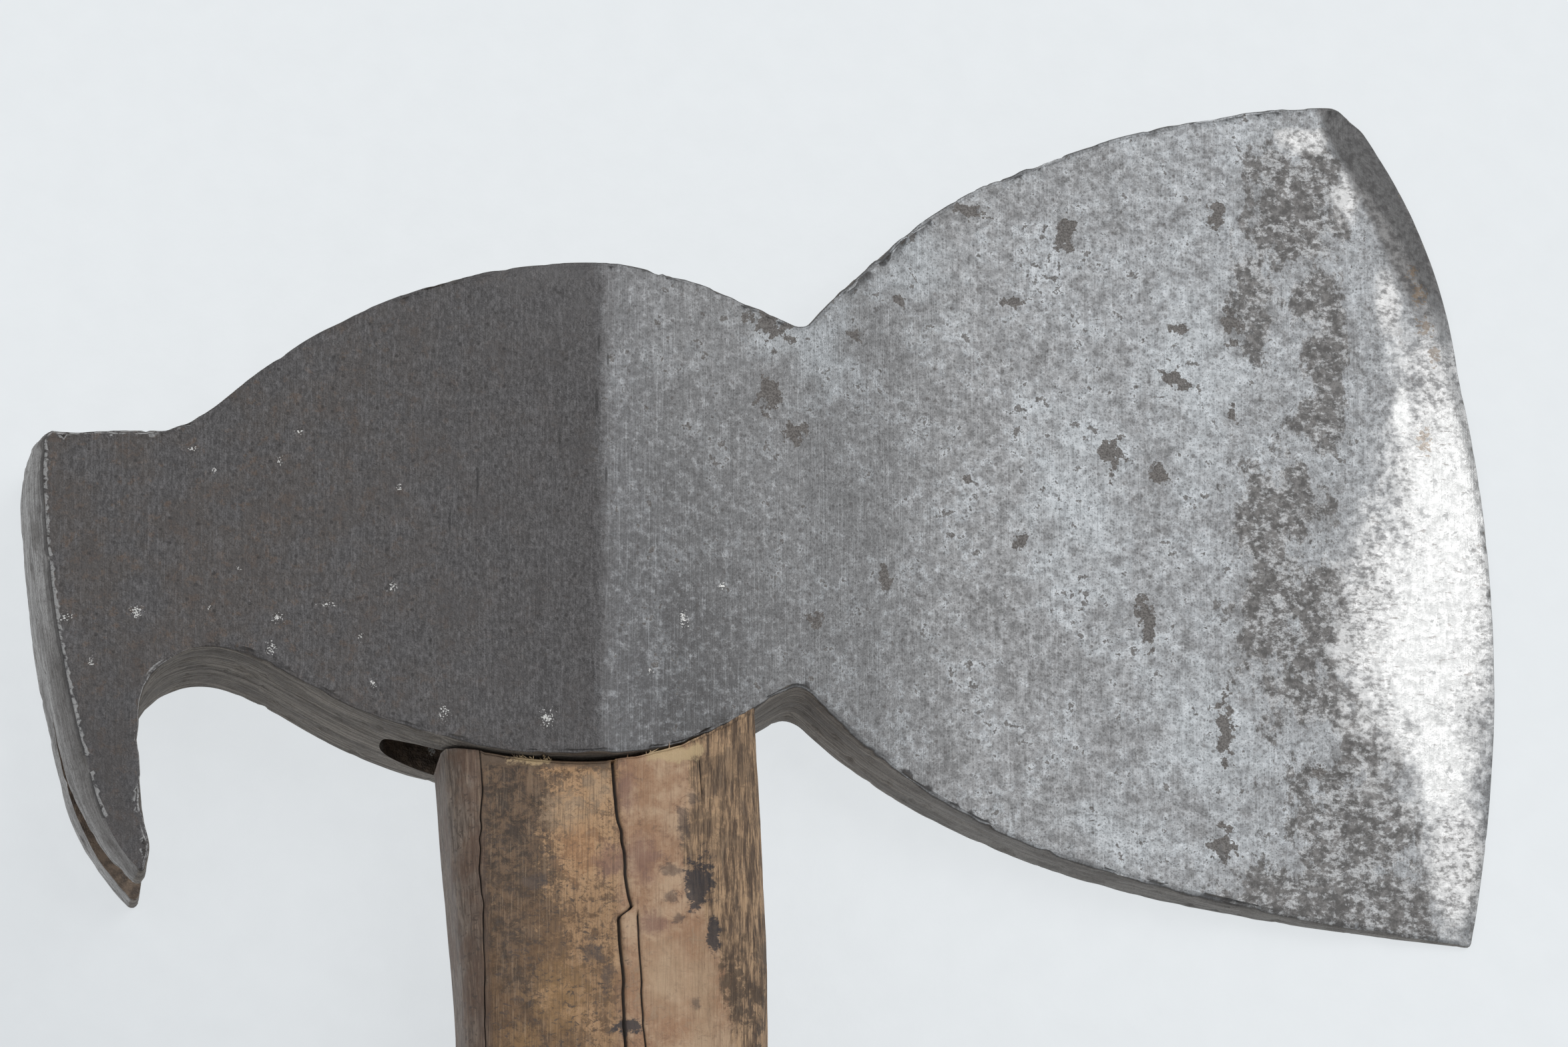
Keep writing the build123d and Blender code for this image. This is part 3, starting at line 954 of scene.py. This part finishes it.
    def finish(self, colour, roughness, metallic, height, bump_mm=1.0):
        self.feed(self.shader.inputs["Base Color"], colour)
        self.feed(self.shader.inputs["Roughness"], roughness)
        self.feed(self.shader.inputs["Metallic"], metallic)
        bump = self.node("ShaderNodeBump")
        bump.inputs["Strength"].default_value = 1.0
        bump.inputs["Distance"].default_value = bump_mm * MM
        self.feed(bump.inputs["Height"], height)
        self.tree.links.new(bump.outputs[0], self.shader.inputs["Normal"])
        return self.material


# marks on the bevelled side, each an ellipse: x, y, half widths
PATINA = (
    (99.0, 53.5, 6.0, 4.5), (97.5, 46.5, 5.5, 4.5), (92.0, 38.5, 3.0, 7.5), (100.0, 37.5, 3.5, 4.0),
    (101.5, 29.0, 2.6, 6.0), (100.5, 20.5, 3.0, 4.0), (94.5, 8.0, 5.0, 7.0), (94.0, -3.5, 4.5, 13.0),
    (101.0, -6.5, 4.5, 8.0), (100.5, -17.8, 7.5, 3.4), (106.0, -24.0, 2.8, 7.0), (103.5, -36.0, 7.0, 10.0),
    (108.0, -34.0, 4.0, 8.0), (97.0, -46.5, 10.0, 6.0), (108.0, -45.0, 8.0, 6.5),
)
BROWN_BLOTS = (
    (87.4, -22.3, 1.1, 4.2), (100.6, -27.2, 2.6, 0.9), (87.0, -37.8, 1.4, 2.2), (77.4, -9.2, 0.9, 2.4),
    (89.0, 33.0, 1.3, 2.5), (66.5, 43.4, 1.4, 2.2), (72.4, 13.7, 1.5, 2.0), (78.9, 11.5, 1.5, 1.0),
    (53.4, 45.6, 2.6, 0.9), (81.6, 31.6, 1.3, 0.9), (76.7, -6.8, 1.2, 1.8), (88.7, 20.4, 0.8, 1.0),
    (86.9, 47.4, 1.2, 1.7), (81.5, 24.5, 1.6, 0.9), (26.2, 27.4, 2.6, 2.2), (26.4, 17.0, 1.4, 2.0),
    (29.6, 12.6, 1.6, 1.2), (37.8, 26.8, 1.0, 0.9), (44.0, 32.7, 0.9, 0.9), (59.4, 33.7, 1.1, 0.8),
    (52.8, 9.4, 0.8, 0.7), (42.0, -5.0, 0.9, 1.4), (32.4, -12.0, 0.9, 1.2), (60.3, 1.3, 1.0, 0.7),
)
LIGHT_PATCHES = (
    (31.5, 25.0, 7.5, 9.0), (48.0, 37.0, 10.0, 8.0), (68.0, 8.0, 12.0, 20.0), (84.0, 28.0, 10.0, 22.0),
    (86.0, -24.0, 12.0, 20.0), (70.0, -36.0, 12.0, 7.0),
)
# honed steel behind the edge, with a painted highlight on it: first the rubbed zone, then its brightest
# strip
HONED_HIGHLIGHT = (
    (117.5, 2.0, 11.0, 44.0), (110.0, -9.0, 9.5, 23.0), (99.0, 58.6, 4.6, 2.2), (104.6, 51.5, 2.4, 4.6),
    (110.2, 37.0, 2.4, 6.0), (118.5, -38.0, 6.0, 12.0),
)
POLISHED_HIGHLIGHT = (
    (117.5, 9.0, 5.6, 15.0), (116.0, -4.0, 7.6, 17.0), (113.8, -12.0, 7.6, 13.0), (116.5, -24.0, 4.6, 10.0),
    (111.9, 22.0, 1.4, 4.0),
)
WHITE_SPECKS = (
    (-48.3, 7.6, 0.9, 0.5), (-45.5, 4.9, 0.5, 0.8), (-34.9, 9.9, 0.8, 0.5), (-37.2, 6.0, 0.6, 1.0),
    (-22.0, 2.5, 0.5, 0.8), (-22.7, -10.6, 0.8, 1.0), (-31.0, -12.9, 1.5, 0.6), (-42.3, -8.2, 0.9, 0.6),
    (-55.2, -13.9, 1.1, 1.1), (-46.0, -13.3, 0.6, 0.4), (-37.3, -14.7, 1.2, 0.8), (-26.7, -17.2, 0.5, 0.8),
    (-38.0, -18.7, 1.1, 1.4), (-60.9, -20.5, 0.6, 1.0), (-25.0, -23.4, 0.8, 0.9), (-64.3, -14.7, 1.3, 1.2),
    (-16.0, -27.0, 1.0, 1.8), (-2.9, -27.9, 1.3, 1.7), (10.4, -20.9, 0.8, 0.6), (19.9, -8.8, 0.6, 0.8),
    (14.8, -13.7, 0.9, 1.6),
)
SCRATCHES = (
    (3.4, 21.6, 0.24, 1.4), (4.6, 19.6, 0.20, 1.0), (3.2, 14.0, 0.26, 2.4), (4.4, 4.2, 0.24, 1.5),
    (-1.5, 9.0, 0.22, 2.2), (-12.0, 3.0, 0.22, 2.6), (-15.5, -2.0, 0.20, 1.8),
)
RUST = (
    (114.4, 38.5, 0.7, 1.2), (115.0, 34.0, 0.8, 1.2), (116.4, 30.6, 0.9, 1.1), (114.8, 18.6, 0.8, 1.6),
    (113.6, 41.5, 0.6, 0.7),
)


def head_metal(name):
    """Old forged iron, ground bright on the blade, with rust and patina; the blade also carries painted
    shade, painted reflections and painted highlights.
    """
    g = Graph(name)
    flat = g.math("ABSOLUTE", g.facing[2])
    walls = g.ease(flat, 0.8, 0.55)
    tear = g.noise(1.5, 4.0, 0.66, shift=11.0)
    coarse = g.noise(6.5, 5.0, 0.62, shift=7.7)
    mottle = g.noise(1.0, 3.0, 0.66, shift=3.1)
    grain = g.noise(0.24, 1.5, 0.6, shift=2.0)
    fine = g.noise(0.46, 4.0, 0.68, stretch=(1.0, 1.9, 1.9), shift=27.0)
    ground = g.noise(0.17, 2.0, 0.6, stretch=(1.0, 45.0, 45.0), shift=1.9)
    uneven = coarse - 0.5
    torn = tear - 0.5
    fine_pits = g.pits(0.52, 0.6, 0.4, 1.7)
    pits = g.pits(1.15, 0.24, 0.28, 9.4)

    # the ground cheek's grey, with painted shade low beside the ridge grading to a painted pale bluish sky
    # reflection forward
    shade_to_reflection = g.x + g.y * g.ease(g.x, 8.0, 38.0, 0.78, 0.15) + uneven * 22.0
    blade = g.paint(g.ease(shade_to_reflection, -12.0, 58.0), (0.078, 0.076, 0.077), (0.242, 0.242, 0.244))
    # painted shade: darker still just forward of the ridge
    blade.tint(g.x, 15.0, 6.0, 0.4, (0.175, 0.174, 0.18))
    # painted reflection: paler and bluer far forward
    blade.over(g.ease(shade_to_reflection, 44.0, 100.0), (0.285, 0.292, 0.3))
    forward = g.ease(g.x, 10.0, 60.0, 0.3, 1.0)
    scuffed = tear * 0.55 + coarse * 0.45
    blade.over(g.ease(scuffed, 0.49, 0.42, 0.0, 0.62) * forward, (0.15, 0.148, 0.148))
    blade.over(g.ease(scuffed, 0.51, 0.6, 0.0, 0.62) * forward, (0.43, 0.45, 0.468))
    light = g.ease(g.field(LIGHT_PATCHES) + uneven * 2.6, 0.05, 0.95)
    blade.over(light * 0.6, (0.4, 0.42, 0.435))
    blade.tint(mottle, 0.5, 0.34, 0.26, (0.11, 0.107, 0.107))
    blade.tint(mottle, 0.53, 0.72, 0.26, (0.42, 0.435, 0.45))
    blade.tint(ground, 0.52, 0.72, 0.2, (0.46, 0.47, 0.48))
    blade.tint(ground, 0.47, 0.3, 0.28, (0.12, 0.117, 0.116))
    blade.tint(grain, 0.44, 0.34, 0.5, (0.08, 0.077, 0.076))
    blade.tint(grain, 0.58, 0.72, 0.18, (0.45, 0.46, 0.47))
    blade.over(fine_pits * 0.4, (0.07, 0.066, 0.065))
    blade.over(pits * 0.5, (0.078, 0.07, 0.067))

    # brown blots, some scattered and some placed
    scattered = g.ease(tear + uneven * 0.4, 0.645, 0.665)
    placed = g.ragged(BROWN_BLOTS, tear, 5.5, 0.07)
    blots = g.most(scattered * 0.85, placed)
    blot_colour = g.paint(g.ease(grain, 0.4, 0.6), (0.08, 0.07, 0.064), (0.15, 0.136, 0.126))
    blade.over(blots * 0.92, blot_colour)

    # the poll and rear cheek: a dark brown-grey bloom, rusty towards the claw
    poll = g.paint(g.ease(fine, 0.34, 0.66), (0.058, 0.054, 0.054), (0.112, 0.106, 0.107))
    warm = g.ease(coarse, 0.4, 0.64) * g.ease(g.x, 5.0, -50.0, 0.1, 0.55)
    poll.over(warm, (0.094, 0.074, 0.06))
    rusty = g.ease(tear + uneven * 0.5, 0.56, 0.66)
    poll.over(rusty * g.ease(g.x, 0.0, -45.0, 0.08, 0.45), (0.15, 0.1, 0.07))
    poll.tint(ground, 0.5, 0.7, 0.3, (0.185, 0.178, 0.182))
    poll.tint(grain, 0.52, 0.34, 0.45, (0.03, 0.028, 0.028))
    poll.tint(fine, 0.56, 0.72, 0.3, (0.2, 0.193, 0.196))
    poll.tint(coarse, 0.52, 0.64, 0.4, (0.064, 0.061, 0.063))
    poll.over(pits * 0.6, (0.026, 0.023, 0.022))
    on_claw = g.ease(g.x, -44.0, -54.0) * g.ease(g.y, -14.0, -34.0) * 0.4
    poll.over(on_claw, (0.052, 0.05, 0.053))
    top_light = g.ease(g.y + g.x * 0.25, 14.0, 34.0, 0.0, 0.3)
    poll.over(top_light * g.ease(coarse, 0.35, 0.6), (0.15, 0.145, 0.147))

    on_blade = g.ease(g.x + torn * 3.0 + uneven * 4.0, head.ridge_x - 1.6, head.ridge_x + 1.8)
    colour = g.paint(on_blade, poll, blade)

    # dark patina left on the steel forward of the weld, with worn flecks in it
    shore = g.noise(3.6, 5.0, 0.72, stretch=(1.0, 1.5, 1.0), shift=51.0)
    depth = g.field(PATINA) + (shore - 0.5) * 5.0 + torn * 1.2
    patina = g.ease(depth, -0.26, 0.1)
    flecks = g.noise(0.6, 3.0, 0.74, stretch=(1.6, 1.0, 1.0), shift=53.0)
    islands = g.ease(flecks * 0.6 + shore * -0.5 + tear * 0.5, 0.26, 0.42)
    dark = g.paint(g.ease(mottle, 0.4, 0.62), (0.084, 0.079, 0.076), (0.132, 0.125, 0.121))
    dark.over(islands * 0.9, (0.42, 0.422, 0.425))
    dark.tint(grain, 0.5, 0.34, 0.4, (0.07, 0.064, 0.061))
    colour.over(patina * 0.95, dark)
    # and the darker band of the little bevel at the toe
    across = g.x * 0.898 + g.y * 0.439 + torn * 3.0
    toe = g.ease(across, 117.2, 118.8) * g.ease(g.y + torn * 14.0, 30.0, 40.0)
    toe_colour = g.paint(g.ease(mottle, 0.35, 0.65), (0.088, 0.084, 0.083), (0.15, 0.146, 0.144))
    colour.over(toe * 0.95, toe_colour)

    # the zone behind the edge, honed bright and with a painted highlight on it, brightest in the middle
    speckle = flecks * 0.55 + tear * 0.45
    honed_highlight = g.ease(g.field(HONED_HIGHLIGHT) + uneven * 1.3 + torn * 1.0, -0.05, 0.62)
    bright = g.paint(g.ease(speckle, 0.55, 0.4), (0.56, 0.555, 0.55), (0.215, 0.21, 0.207))
    colour.over(honed_highlight * (1.0 - toe), bright)
    # painted highlight: the brightest strip, also polished smoother
    polish_highlight = g.field(POLISHED_HIGHLIGHT) + uneven * 1.3 + (flecks - 0.5) * 1.0
    polish_highlight = g.ease(polish_highlight, -0.28, 0.5)
    colour.over(polish_highlight * 0.9, (0.4, 0.4, 0.395))
    nicks = g.ease(g.noise(0.6, 3.0, 0.65, stretch=(3.5, 1.0, 1.0), shift=67.0), 0.62, 0.68) * honed_highlight
    colour.over(nicks * 0.6, (0.16, 0.145, 0.135))
    rust = g.ragged(RUST, flecks, 7.0, 0.3)
    colour.over(rust * 0.62, (0.15, 0.105, 0.066))

    # side walls: brown-grey, pale at the claw, with dark streaks along the layers
    layers = g.noise(0.5, 3.0, 0.62, stretch=(26.0, 26.0, 0.9), shift=71.0)
    stains = g.noise(4.5, 5.0, 0.65, stretch=(1.4, 1.4, 0.8), shift=73.0)
    wall = g.paint(g.ease(layers, 0.36, 0.64), (0.092, 0.076, 0.062), (0.26, 0.228, 0.194))
    outer = g.paint(g.ease(layers, 0.34, 0.66), (0.225, 0.214, 0.206), (0.5, 0.484, 0.472))
    outer.tint(mottle, 0.52, 0.36, 0.3, (0.11, 0.1, 0.094))
    outer.over(g.ease(g.z, 13.0, 18.0) * g.ease(g.y, -8.0, -22.0, 0.1, 0.6), (0.12, 0.107, 0.098))
    claw_side = g.ease(g.facing[0], -0.35, -0.7) * g.ease(g.x, -46.0, -54.0)
    wall.over(claw_side, outer)
    pale = g.ease(g.x, 30.0, 55.0) * 0.55
    wall.over(pale, (0.22, 0.215, 0.208))
    wall.tint(stains, 0.46, 0.66, 0.55, (0.072, 0.059, 0.05))
    wall.tint(grain, 0.5, 0.36, 0.35, (0.035, 0.03, 0.027))
    colour.over(walls, wall)

    # rims: painted shade along most of them, and by the claw a bright speckled worn burr that is also a
    # painted edge highlight
    rim = g.ease(flat, 0.3, 0.55) * g.ease(flat, 0.93, 0.84) * g.ease(g.z, 1.2, 2.0)
    thin = g.ease(flat, 0.78, 0.84) * g.ease(flat, 0.965, 0.93) * g.ease(g.z, 1.2, 2.0)
    burr_highlight = thin * g.ease(g.x, -46.0, -52.0) * g.ease(g.y, 19.0, 12.0) * g.ease(speckle, 0.42, 0.52)
    # painted shade along the rims behind the blade
    colour.over(rim * g.ease(g.x, 100.0, 92.0, 0.0, 0.55), (0.045, 0.041, 0.04))
    # painted edge highlight on the worn burr by the claw
    colour.over(burr_highlight * 0.8, (0.38, 0.375, 0.37))

    # rust inside the eye and the claw's slot
    in_eye = g.ease(g.z, 20.0, 19.4) * g.ease(g.z, 2.6, 3.2) * g.ease(g.math("ABSOLUTE", g.x), 26.0, 25.4)
    in_slot = g.ease(g.z, 15.6, 15.0) * g.ease(g.z, 3.2, 3.8) * g.ease(g.x, -45.0, -46.0)
    inside = g.most(in_eye, in_slot) * g.ease(flat, 0.45, 0.6)
    inner = g.paint(g.ease(tear, 0.36, 0.66), (0.07, 0.052, 0.04), (0.17, 0.124, 0.09))
    colour.over(inside, inner)

    # scratches, and loose white paint specks on the cheek
    face = 1.0 - walls
    scratches = g.ragged(SCRATCHES, mottle, 1.5, 0.5) * face
    colour.over(scratches * 0.75, (0.03, 0.028, 0.028))
    dots = (grain - 0.5) * 3.6
    specks = g.ease(g.field(WHITE_SPECKS) + dots + torn * 1.2, 0.8, 0.92)
    colour.over(specks * face * 0.9, (0.6, 0.59, 0.57))

    rough = g.ease(mottle, 0.3, 0.7, 0.62, 0.5)
    rough = rough + blots * 0.1 + polish_highlight * -0.16 + walls * 0.12
    clean = (1.0 - blots) * (1.0 - patina * 0.6) * face
    metallic = on_blade * clean * 0.45 + 0.3

    ahead = g.ease(g.x, head.ridge_x - 1.0, head.ridge_x + 1.0)
    height = (
        grain * g.ease(ahead, 0.0, 1.0, 0.08, 0.03)
        + mottle * g.ease(ahead, 0.0, 1.0, 0.28, 0.06)
        + ground * 0.03
        + layers * walls * 0.12
    )
    return g.finish(colour, rough, metallic, height)


# marks on the haft's front, in the same way
BLOND = (
    (-4.8, -32.9, 3.2, 1.0), (13.0, -31.9, 4.0, 1.3), (16.2, -31.2, 1.3, 1.6),
)
STAINS = (
    (16.6, -48.6, 2.3, 4.4), (7.9, -67.4, 2.2, 1.4), (18.6, -55.5, 1.0, 3.0),
)
FAINT_STAINS = (
    (13.2, -47.0, 2.2, 1.2), (14.6, -41.0, 1.2, 3.4), (15.9, -37.6, 0.9, 1.6), (13.0, -50.5, 1.4, 1.1),
    (14.0, -53.2, 1.1, 1.0), (16.3, -64.2, 1.0, 1.2), (3.0, -58.0, 1.6, 2.2), (5.0, -61.5, 1.0, 2.6),
    (-4.0, -49.0, 2.6, 1.4),
)
PINK = (
    (9.4, -45.6, 3.2, 4.2), (7.2, -36.5, 1.8, 4.5), (5.2, -46.0, 2.6, 3.4), (11.0, -54.0, 3.0, 2.0),
)
WARM_WOOD = (
    (1.5, -44.5, 4.0, 5.5), (-1.0, -64.0, 5.5, 7.0), (-5.5, -71.0, 4.0, 5.0),
)
PALE_WOOD = (
    (-0.2, -39.6, 4.2, 3.6), (4.0, -36.5, 3.0, 3.5), (12.6, -61.0, 5.5, 6.5), (17.0, -62.0, 3.0, 9.0),
)


def haft_wood(name):
    """Dry old ash: grimy and mottled left, tan right, fibrous on the right flank."""
    g = Graph(name)
    fibre = g.noise(0.2, 2.0, 0.6, stretch=(1.0, 26.0, 1.0))
    streak = g.noise(0.7, 5.0, 0.74, stretch=(1.0, 7.0, 1.0), shift=4.0)
    fleck = g.noise(1.9, 7.0, 0.8, shift=13.0, warp=0.3)
    cloud = g.noise(7.0, 5.0, 0.64, shift=9.0)
    ticks = g.noise(0.62, 4.0, 0.74, stretch=(1.5, 1.0, 1.5), shift=23.0, warp=0.7)
    loose = fleck - 0.5
    drift = cloud - 0.5
    front = g.ease(g.z, 15.0, 21.0)

    # right of the crack: smooth tan; left of it: mottled ochre and grime
    tan = g.paint(g.ease(cloud * 0.6 + fleck * 0.4, 0.42, 0.58), (0.47, 0.32, 0.205), (0.33, 0.182, 0.1))
    tan.tint(streak, 0.5, 0.36, 0.35, (0.23, 0.13, 0.075))
    tan.tint(fleck + drift * 0.4, 0.54, 0.66, 0.6, (0.155, 0.088, 0.056))
    ochre = g.paint(g.ease(fleck, 0.47, 0.57), (0.45, 0.272, 0.142), (0.12, 0.066, 0.032))
    dirt = g.paint(g.ease(fleck, 0.42, 0.58), (0.04, 0.025, 0.016), (0.152, 0.09, 0.048))
    low_grime = g.ease(g.y, -50.0, -66.0, 0.0, 0.2)
    grime_line = low_grime + g.ease(g.x, 4.0, -9.5) + drift * 2.0 + loose * 2.2 + (ticks - 0.5) * 1.2
    left = g.paint(g.ease(grime_line, 0.16, 0.66), ochre, dirt)
    amber = g.ease(g.y, -45.0, -58.0) * g.ease(cloud, 0.38, 0.54) * 0.55
    left.over(amber, (0.165, 0.085, 0.033))
    warm = g.ease(g.field(WARM_WOOD) + loose * 3.0, 0.05, 0.75)
    glow = g.paint(g.ease(g.y, -50.0, -58.0), (0.4, 0.205, 0.092), (0.27, 0.15, 0.055))
    left.over(warm * 0.62, glow)
    left.tint(fleck, 0.44, 0.34, 0.7, (0.055, 0.034, 0.022))
    to_right = g.ease(g.x + loose * 2.6, 5.4, 7.6)
    colour = g.paint(to_right, left, tan)
    pale = g.ease(g.field(PALE_WOOD) + loose * 3.4, 0.05, 0.7)
    colour.over(pale * 0.55, (0.44, 0.305, 0.19))
    pink = g.ease(g.field(PINK) + loose * 1.8, 0.0, 0.8)
    colour.over(pink * 0.75, (0.225, 0.118, 0.084))

    # flanks
    flank = g.paint(g.ease(streak, 0.38, 0.62), (0.082, 0.057, 0.043), (0.245, 0.19, 0.15))
    flank.over(g.ease(cloud, 0.45, 0.6) * 0.6, (0.128, 0.068, 0.04))
    bend = (g.y + 35.0) * -0.036
    on_left = g.ease(g.x + loose * 0.8 + bend * -1.0, -10.4, -12.2)
    colour.over(on_left, flank)
    straight = g.x + bend * -1.0
    crease = g.ease(straight, -14.5, -12.2) * g.ease(straight, -10.2, -11.4)
    colour.over(crease * g.ease(g.y, -38.0, -52.0, 0.1, 0.5), (0.082, 0.044, 0.028))
    torn = g.paint(g.ease(streak, 0.38, 0.6), (0.1, 0.062, 0.039), (0.45, 0.292, 0.17))
    gloom = g.ease(cloud + loose * 0.9, 0.47, 0.57) * g.ease(g.y, -50.0, -62.0, 0.45, 0.85)
    torn.over(gloom, (0.07, 0.045, 0.029))
    torn.tint(fibre, 0.5, 0.38, 0.4, (0.06, 0.038, 0.025))
    hollow = g.ease(g.y, -37.0, -42.0) * g.ease(g.y, -56.0, -47.0)
    rim = g.x + (streak - 0.5) * 5.0 + loose * 4.0 + g.y * 0.16
    rim = rim + hollow * 2.6
    on_right = g.ease(rim, 9.4, 10.6)
    colour.over(on_right, torn)

    # behind and low down the haft is plainer
    plain = g.paint(g.ease(streak, 0.34, 0.66), (0.19, 0.122, 0.072), (0.345, 0.232, 0.14))
    plain.tint(cloud + loose * 0.4, 0.36, 0.68, 0.6, (0.125, 0.082, 0.051))
    away = g.most(1.0 - front, g.ease(g.y, -76.0, -112.0))
    shown = g.most(on_left, on_right) * g.ease(g.y, -112.0, -76.0)
    colour.over(away * (1.0 - shown) * 0.85, plain)

    # fine fibres, dark flecks across the grain, iron stains
    smooth = to_right * (1.0 - on_right)
    grooves = g.ease(fibre, 0.5, 0.33, 0.0, 0.42) * g.ease(smooth, 0.0, 1.0, 1.0, 0.4)
    colour.over(grooves, (0.07, 0.046, 0.03))
    colour.tint(fibre, 0.52, 0.72, 0.2, (0.5, 0.37, 0.25))
    tick_zone = g.ease(g.x * 0.9 + g.y, -38.0, -54.0, 0.35, 0.9) * g.ease(g.x, 11.0, 4.0, 0.25, 1.0)
    colour.over(g.ease(ticks, 0.55, 0.64) * tick_zone, (0.07, 0.047, 0.034))
    stain = g.ease(g.field(STAINS) + loose * 3.0 + (ticks - 0.5) * 1.2, 0.1, 0.4)
    colour.over(stain * 0.88, (0.028, 0.025, 0.029))
    faint = g.ease(g.field(FAINT_STAINS) + loose * 3.4, 0.1, 0.6)
    colour.over(faint * 0.55, (0.06, 0.046, 0.042))

    # painted shade down in the cracks
    crack = Amount(g, g.node("ShaderNodeAttribute", attribute_name="crack").outputs["Fac"])
    colour.tint(crack, 0.05, 0.6, 0.92, (0.022, 0.015, 0.011))

    # crushed shoulder: brown band and blond broken fibres right under the head
    shoulder = g.y + loose * 3.0
    crushed = g.ease(shoulder, -34.3, -33.6) * g.ease(g.x, 6.2, 4.8) * g.ease(g.x, -12.0, -10.5)
    colour.over(crushed * 0.8, (0.118, 0.078, 0.05))
    blond = g.ease(g.field(BLOND) + loose * 3.0, 0.05, 0.5)
    colour.over(blond * 0.85, (0.5, 0.365, 0.205))

    # end grain: dark rings
    ends = g.ease(g.math("ABSOLUTE", g.facing[1]), 0.85, 0.97)
    rings = g.noise(0.8, 3.0, 0.62, stretch=(1.0, 1.0, 14.0), shift=31.0)
    end_colour = g.paint(g.ease(rings, 0.36, 0.64), (0.085, 0.057, 0.037), (0.19, 0.128, 0.08))
    colour.over(ends * g.ease(g.math("ABSOLUTE", g.y + 33.0), 3.5, 5.0), end_colour)

    rough = g.ease(fleck, 0.35, 0.65, 0.64, 0.5)
    rough = rough + on_right * 0.18 + ends * 0.15
    bark = g.ease(g.x, 15.0, 18.0)
    height = (
        fibre * g.ease(bark, 0.0, 1.0, 0.07, 0.16)
        + streak * g.ease(bark, 0.0, 1.0, 0.08, 0.34)
        + fleck * 0.22
    )
    return g.finish(colour, rough, 0.0, height)


def steel_rust(name):
    g = Graph(name)
    mottle = g.noise(1.2, 4.0, 0.6)
    colour = g.paint(g.ease(mottle, 0.35, 0.65), (0.075, 0.055, 0.045), (0.17, 0.13, 0.105))
    return g.finish(colour, 0.6, 0.5, mottle, 0.2)


# ---------------------------------------------------------------------- stage
def plaster(name):
    """Pale plaster; its glow keeps the shadows weak, and is a painted light falloff, dimmer towards
    negative x and y.
    """
    g = Graph(name)
    wave = g.noise(5.0, 4.0, 0.55)
    # painted light falloff: the glow dims towards negative x and y, with a soft wave in it
    tone = g.ease(g.x * 0.45 + g.y, -150.0, 0.0)
    tone = tone * 0.95 + (wave - 0.5) * 0.3
    colour = (0.1, 0.104, 0.107)
    glow = g.blend(tone, (0.56, 0.585, 0.605), (0.69, 0.718, 0.738))
    material = g.finish(colour, 0.85, 0.0, wave, 0.4)
    g.feed(g.shader.inputs["Emission Color"], glow)
    g.shader.inputs["Emission Strength"].default_value = 1.0
    return material


def build_floor():
    half = FLOOR_HALF
    points = [(-half, -half, 0), (half, -half, 0), (half, half, 0), (-half, half, 0)]
    mesh = bpy.data.meshes.new("floor")
    mesh.from_pydata(points, [], [(0, 1, 2, 3)])
    floor = linked("floor", mesh)
    floor.location.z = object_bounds()[0][2] - FLOOR_GAP
    floor.data.materials.append(plaster("floor_plaster"))


def build_camera():
    """A long lens above the bevelled side, a little to the claw and the handle."""
    aside, down = math.radians(CAMERA_ASIDE), math.radians(CAMERA_DOWN)
    level = math.cos(down)
    back = Vector((-math.sin(aside) * level, -math.sin(down), math.cos(aside) * level))
    right = Vector((0, 1, 0)).cross(back).normalized()
    up = back.cross(right)
    data = bpy.data.cameras.new("camera")
    data.lens = CAMERA_LENS
    data.sensor_width = 36.0
    data.clip_end = 20.0
    camera = linked("camera", data)
    turn = Matrix((right, up, back)).transposed().to_4x4()
    eye = Vector(CAMERA_TARGET) * MM + back * CAMERA_DISTANCE
    camera.matrix_world = Matrix.Translation(eye) @ turn
    bpy.context.scene.camera = camera


def area_light(name, direction, distance, size, power, target=(0.03, 0.0, 0.0)):
    """A soft box in this direction from the target, facing it."""
    data = bpy.data.lights.new(name, "AREA")
    data.shape = "RECTANGLE"
    data.size, data.size_y = size
    data.energy = power
    light = linked(name, data)
    way = Vector(direction).normalized()
    light.location = Vector(target) + way * distance
    light.rotation_euler = way.to_track_quat("Z", "Y").to_euler()


def build_light():
    world = bpy.data.worlds.new("world")
    bpy.context.scene.world = world
    world.use_nodes = True
    sky = world.node_tree.nodes["Background"]
    sky.inputs["Color"].default_value = SKY_COLOUR
    sky.inputs["Strength"].default_value = SKY_STRENGTH
    area_light("key", *KEY_LIGHT)
    area_light("fill", *FILL_LIGHT)
    bpy.context.scene.view_settings.view_transform = "Standard"


# ------------------------------------------------------------------- assembly
head = Head()
body, bit = build_head(head)
grip, handle, first_ring = build_grip(head)
wear_grip(grip, handle, first_ring)
haft = joined("haft", grip, build_tenon(), build_splinters(SPLINTERS))

for piece, node, slot, material in (
    (body, "head_body", "forged_iron", head_metal("forged_iron")),
    (bit, "cutting_bit", "bit_steel", head_metal("bit_steel")),
    (haft, "handle", "handle_wood", haft_wood("haft_wood")),
):
    piece.data.materials.clear()
    piece.data.materials.append(material)
    piece.data.polygons.foreach_set("material_index", [0] * len(piece.data.polygons))
    piece.data.polygons.foreach_set("use_smooth", [True] * len(piece.data.polygons))
    piece.data.set_sharp_from_angle(angle=math.radians(CREASE_DEGREES))
    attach(piece, "root")
    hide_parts(node)
wedge_wood = haft_wood("wedge_wood")
wedge_steel = steel_rust("wedge_steel")
for node, material in (
    ("wooden_wedge", wedge_wood),
    ("steel_wedge_rear", wedge_steel),
    ("steel_wedge_front", wedge_steel),
):
    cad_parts[node].data.materials.clear()
    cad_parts[node].data.materials.append(material)

build_floor()
build_camera()
build_light()
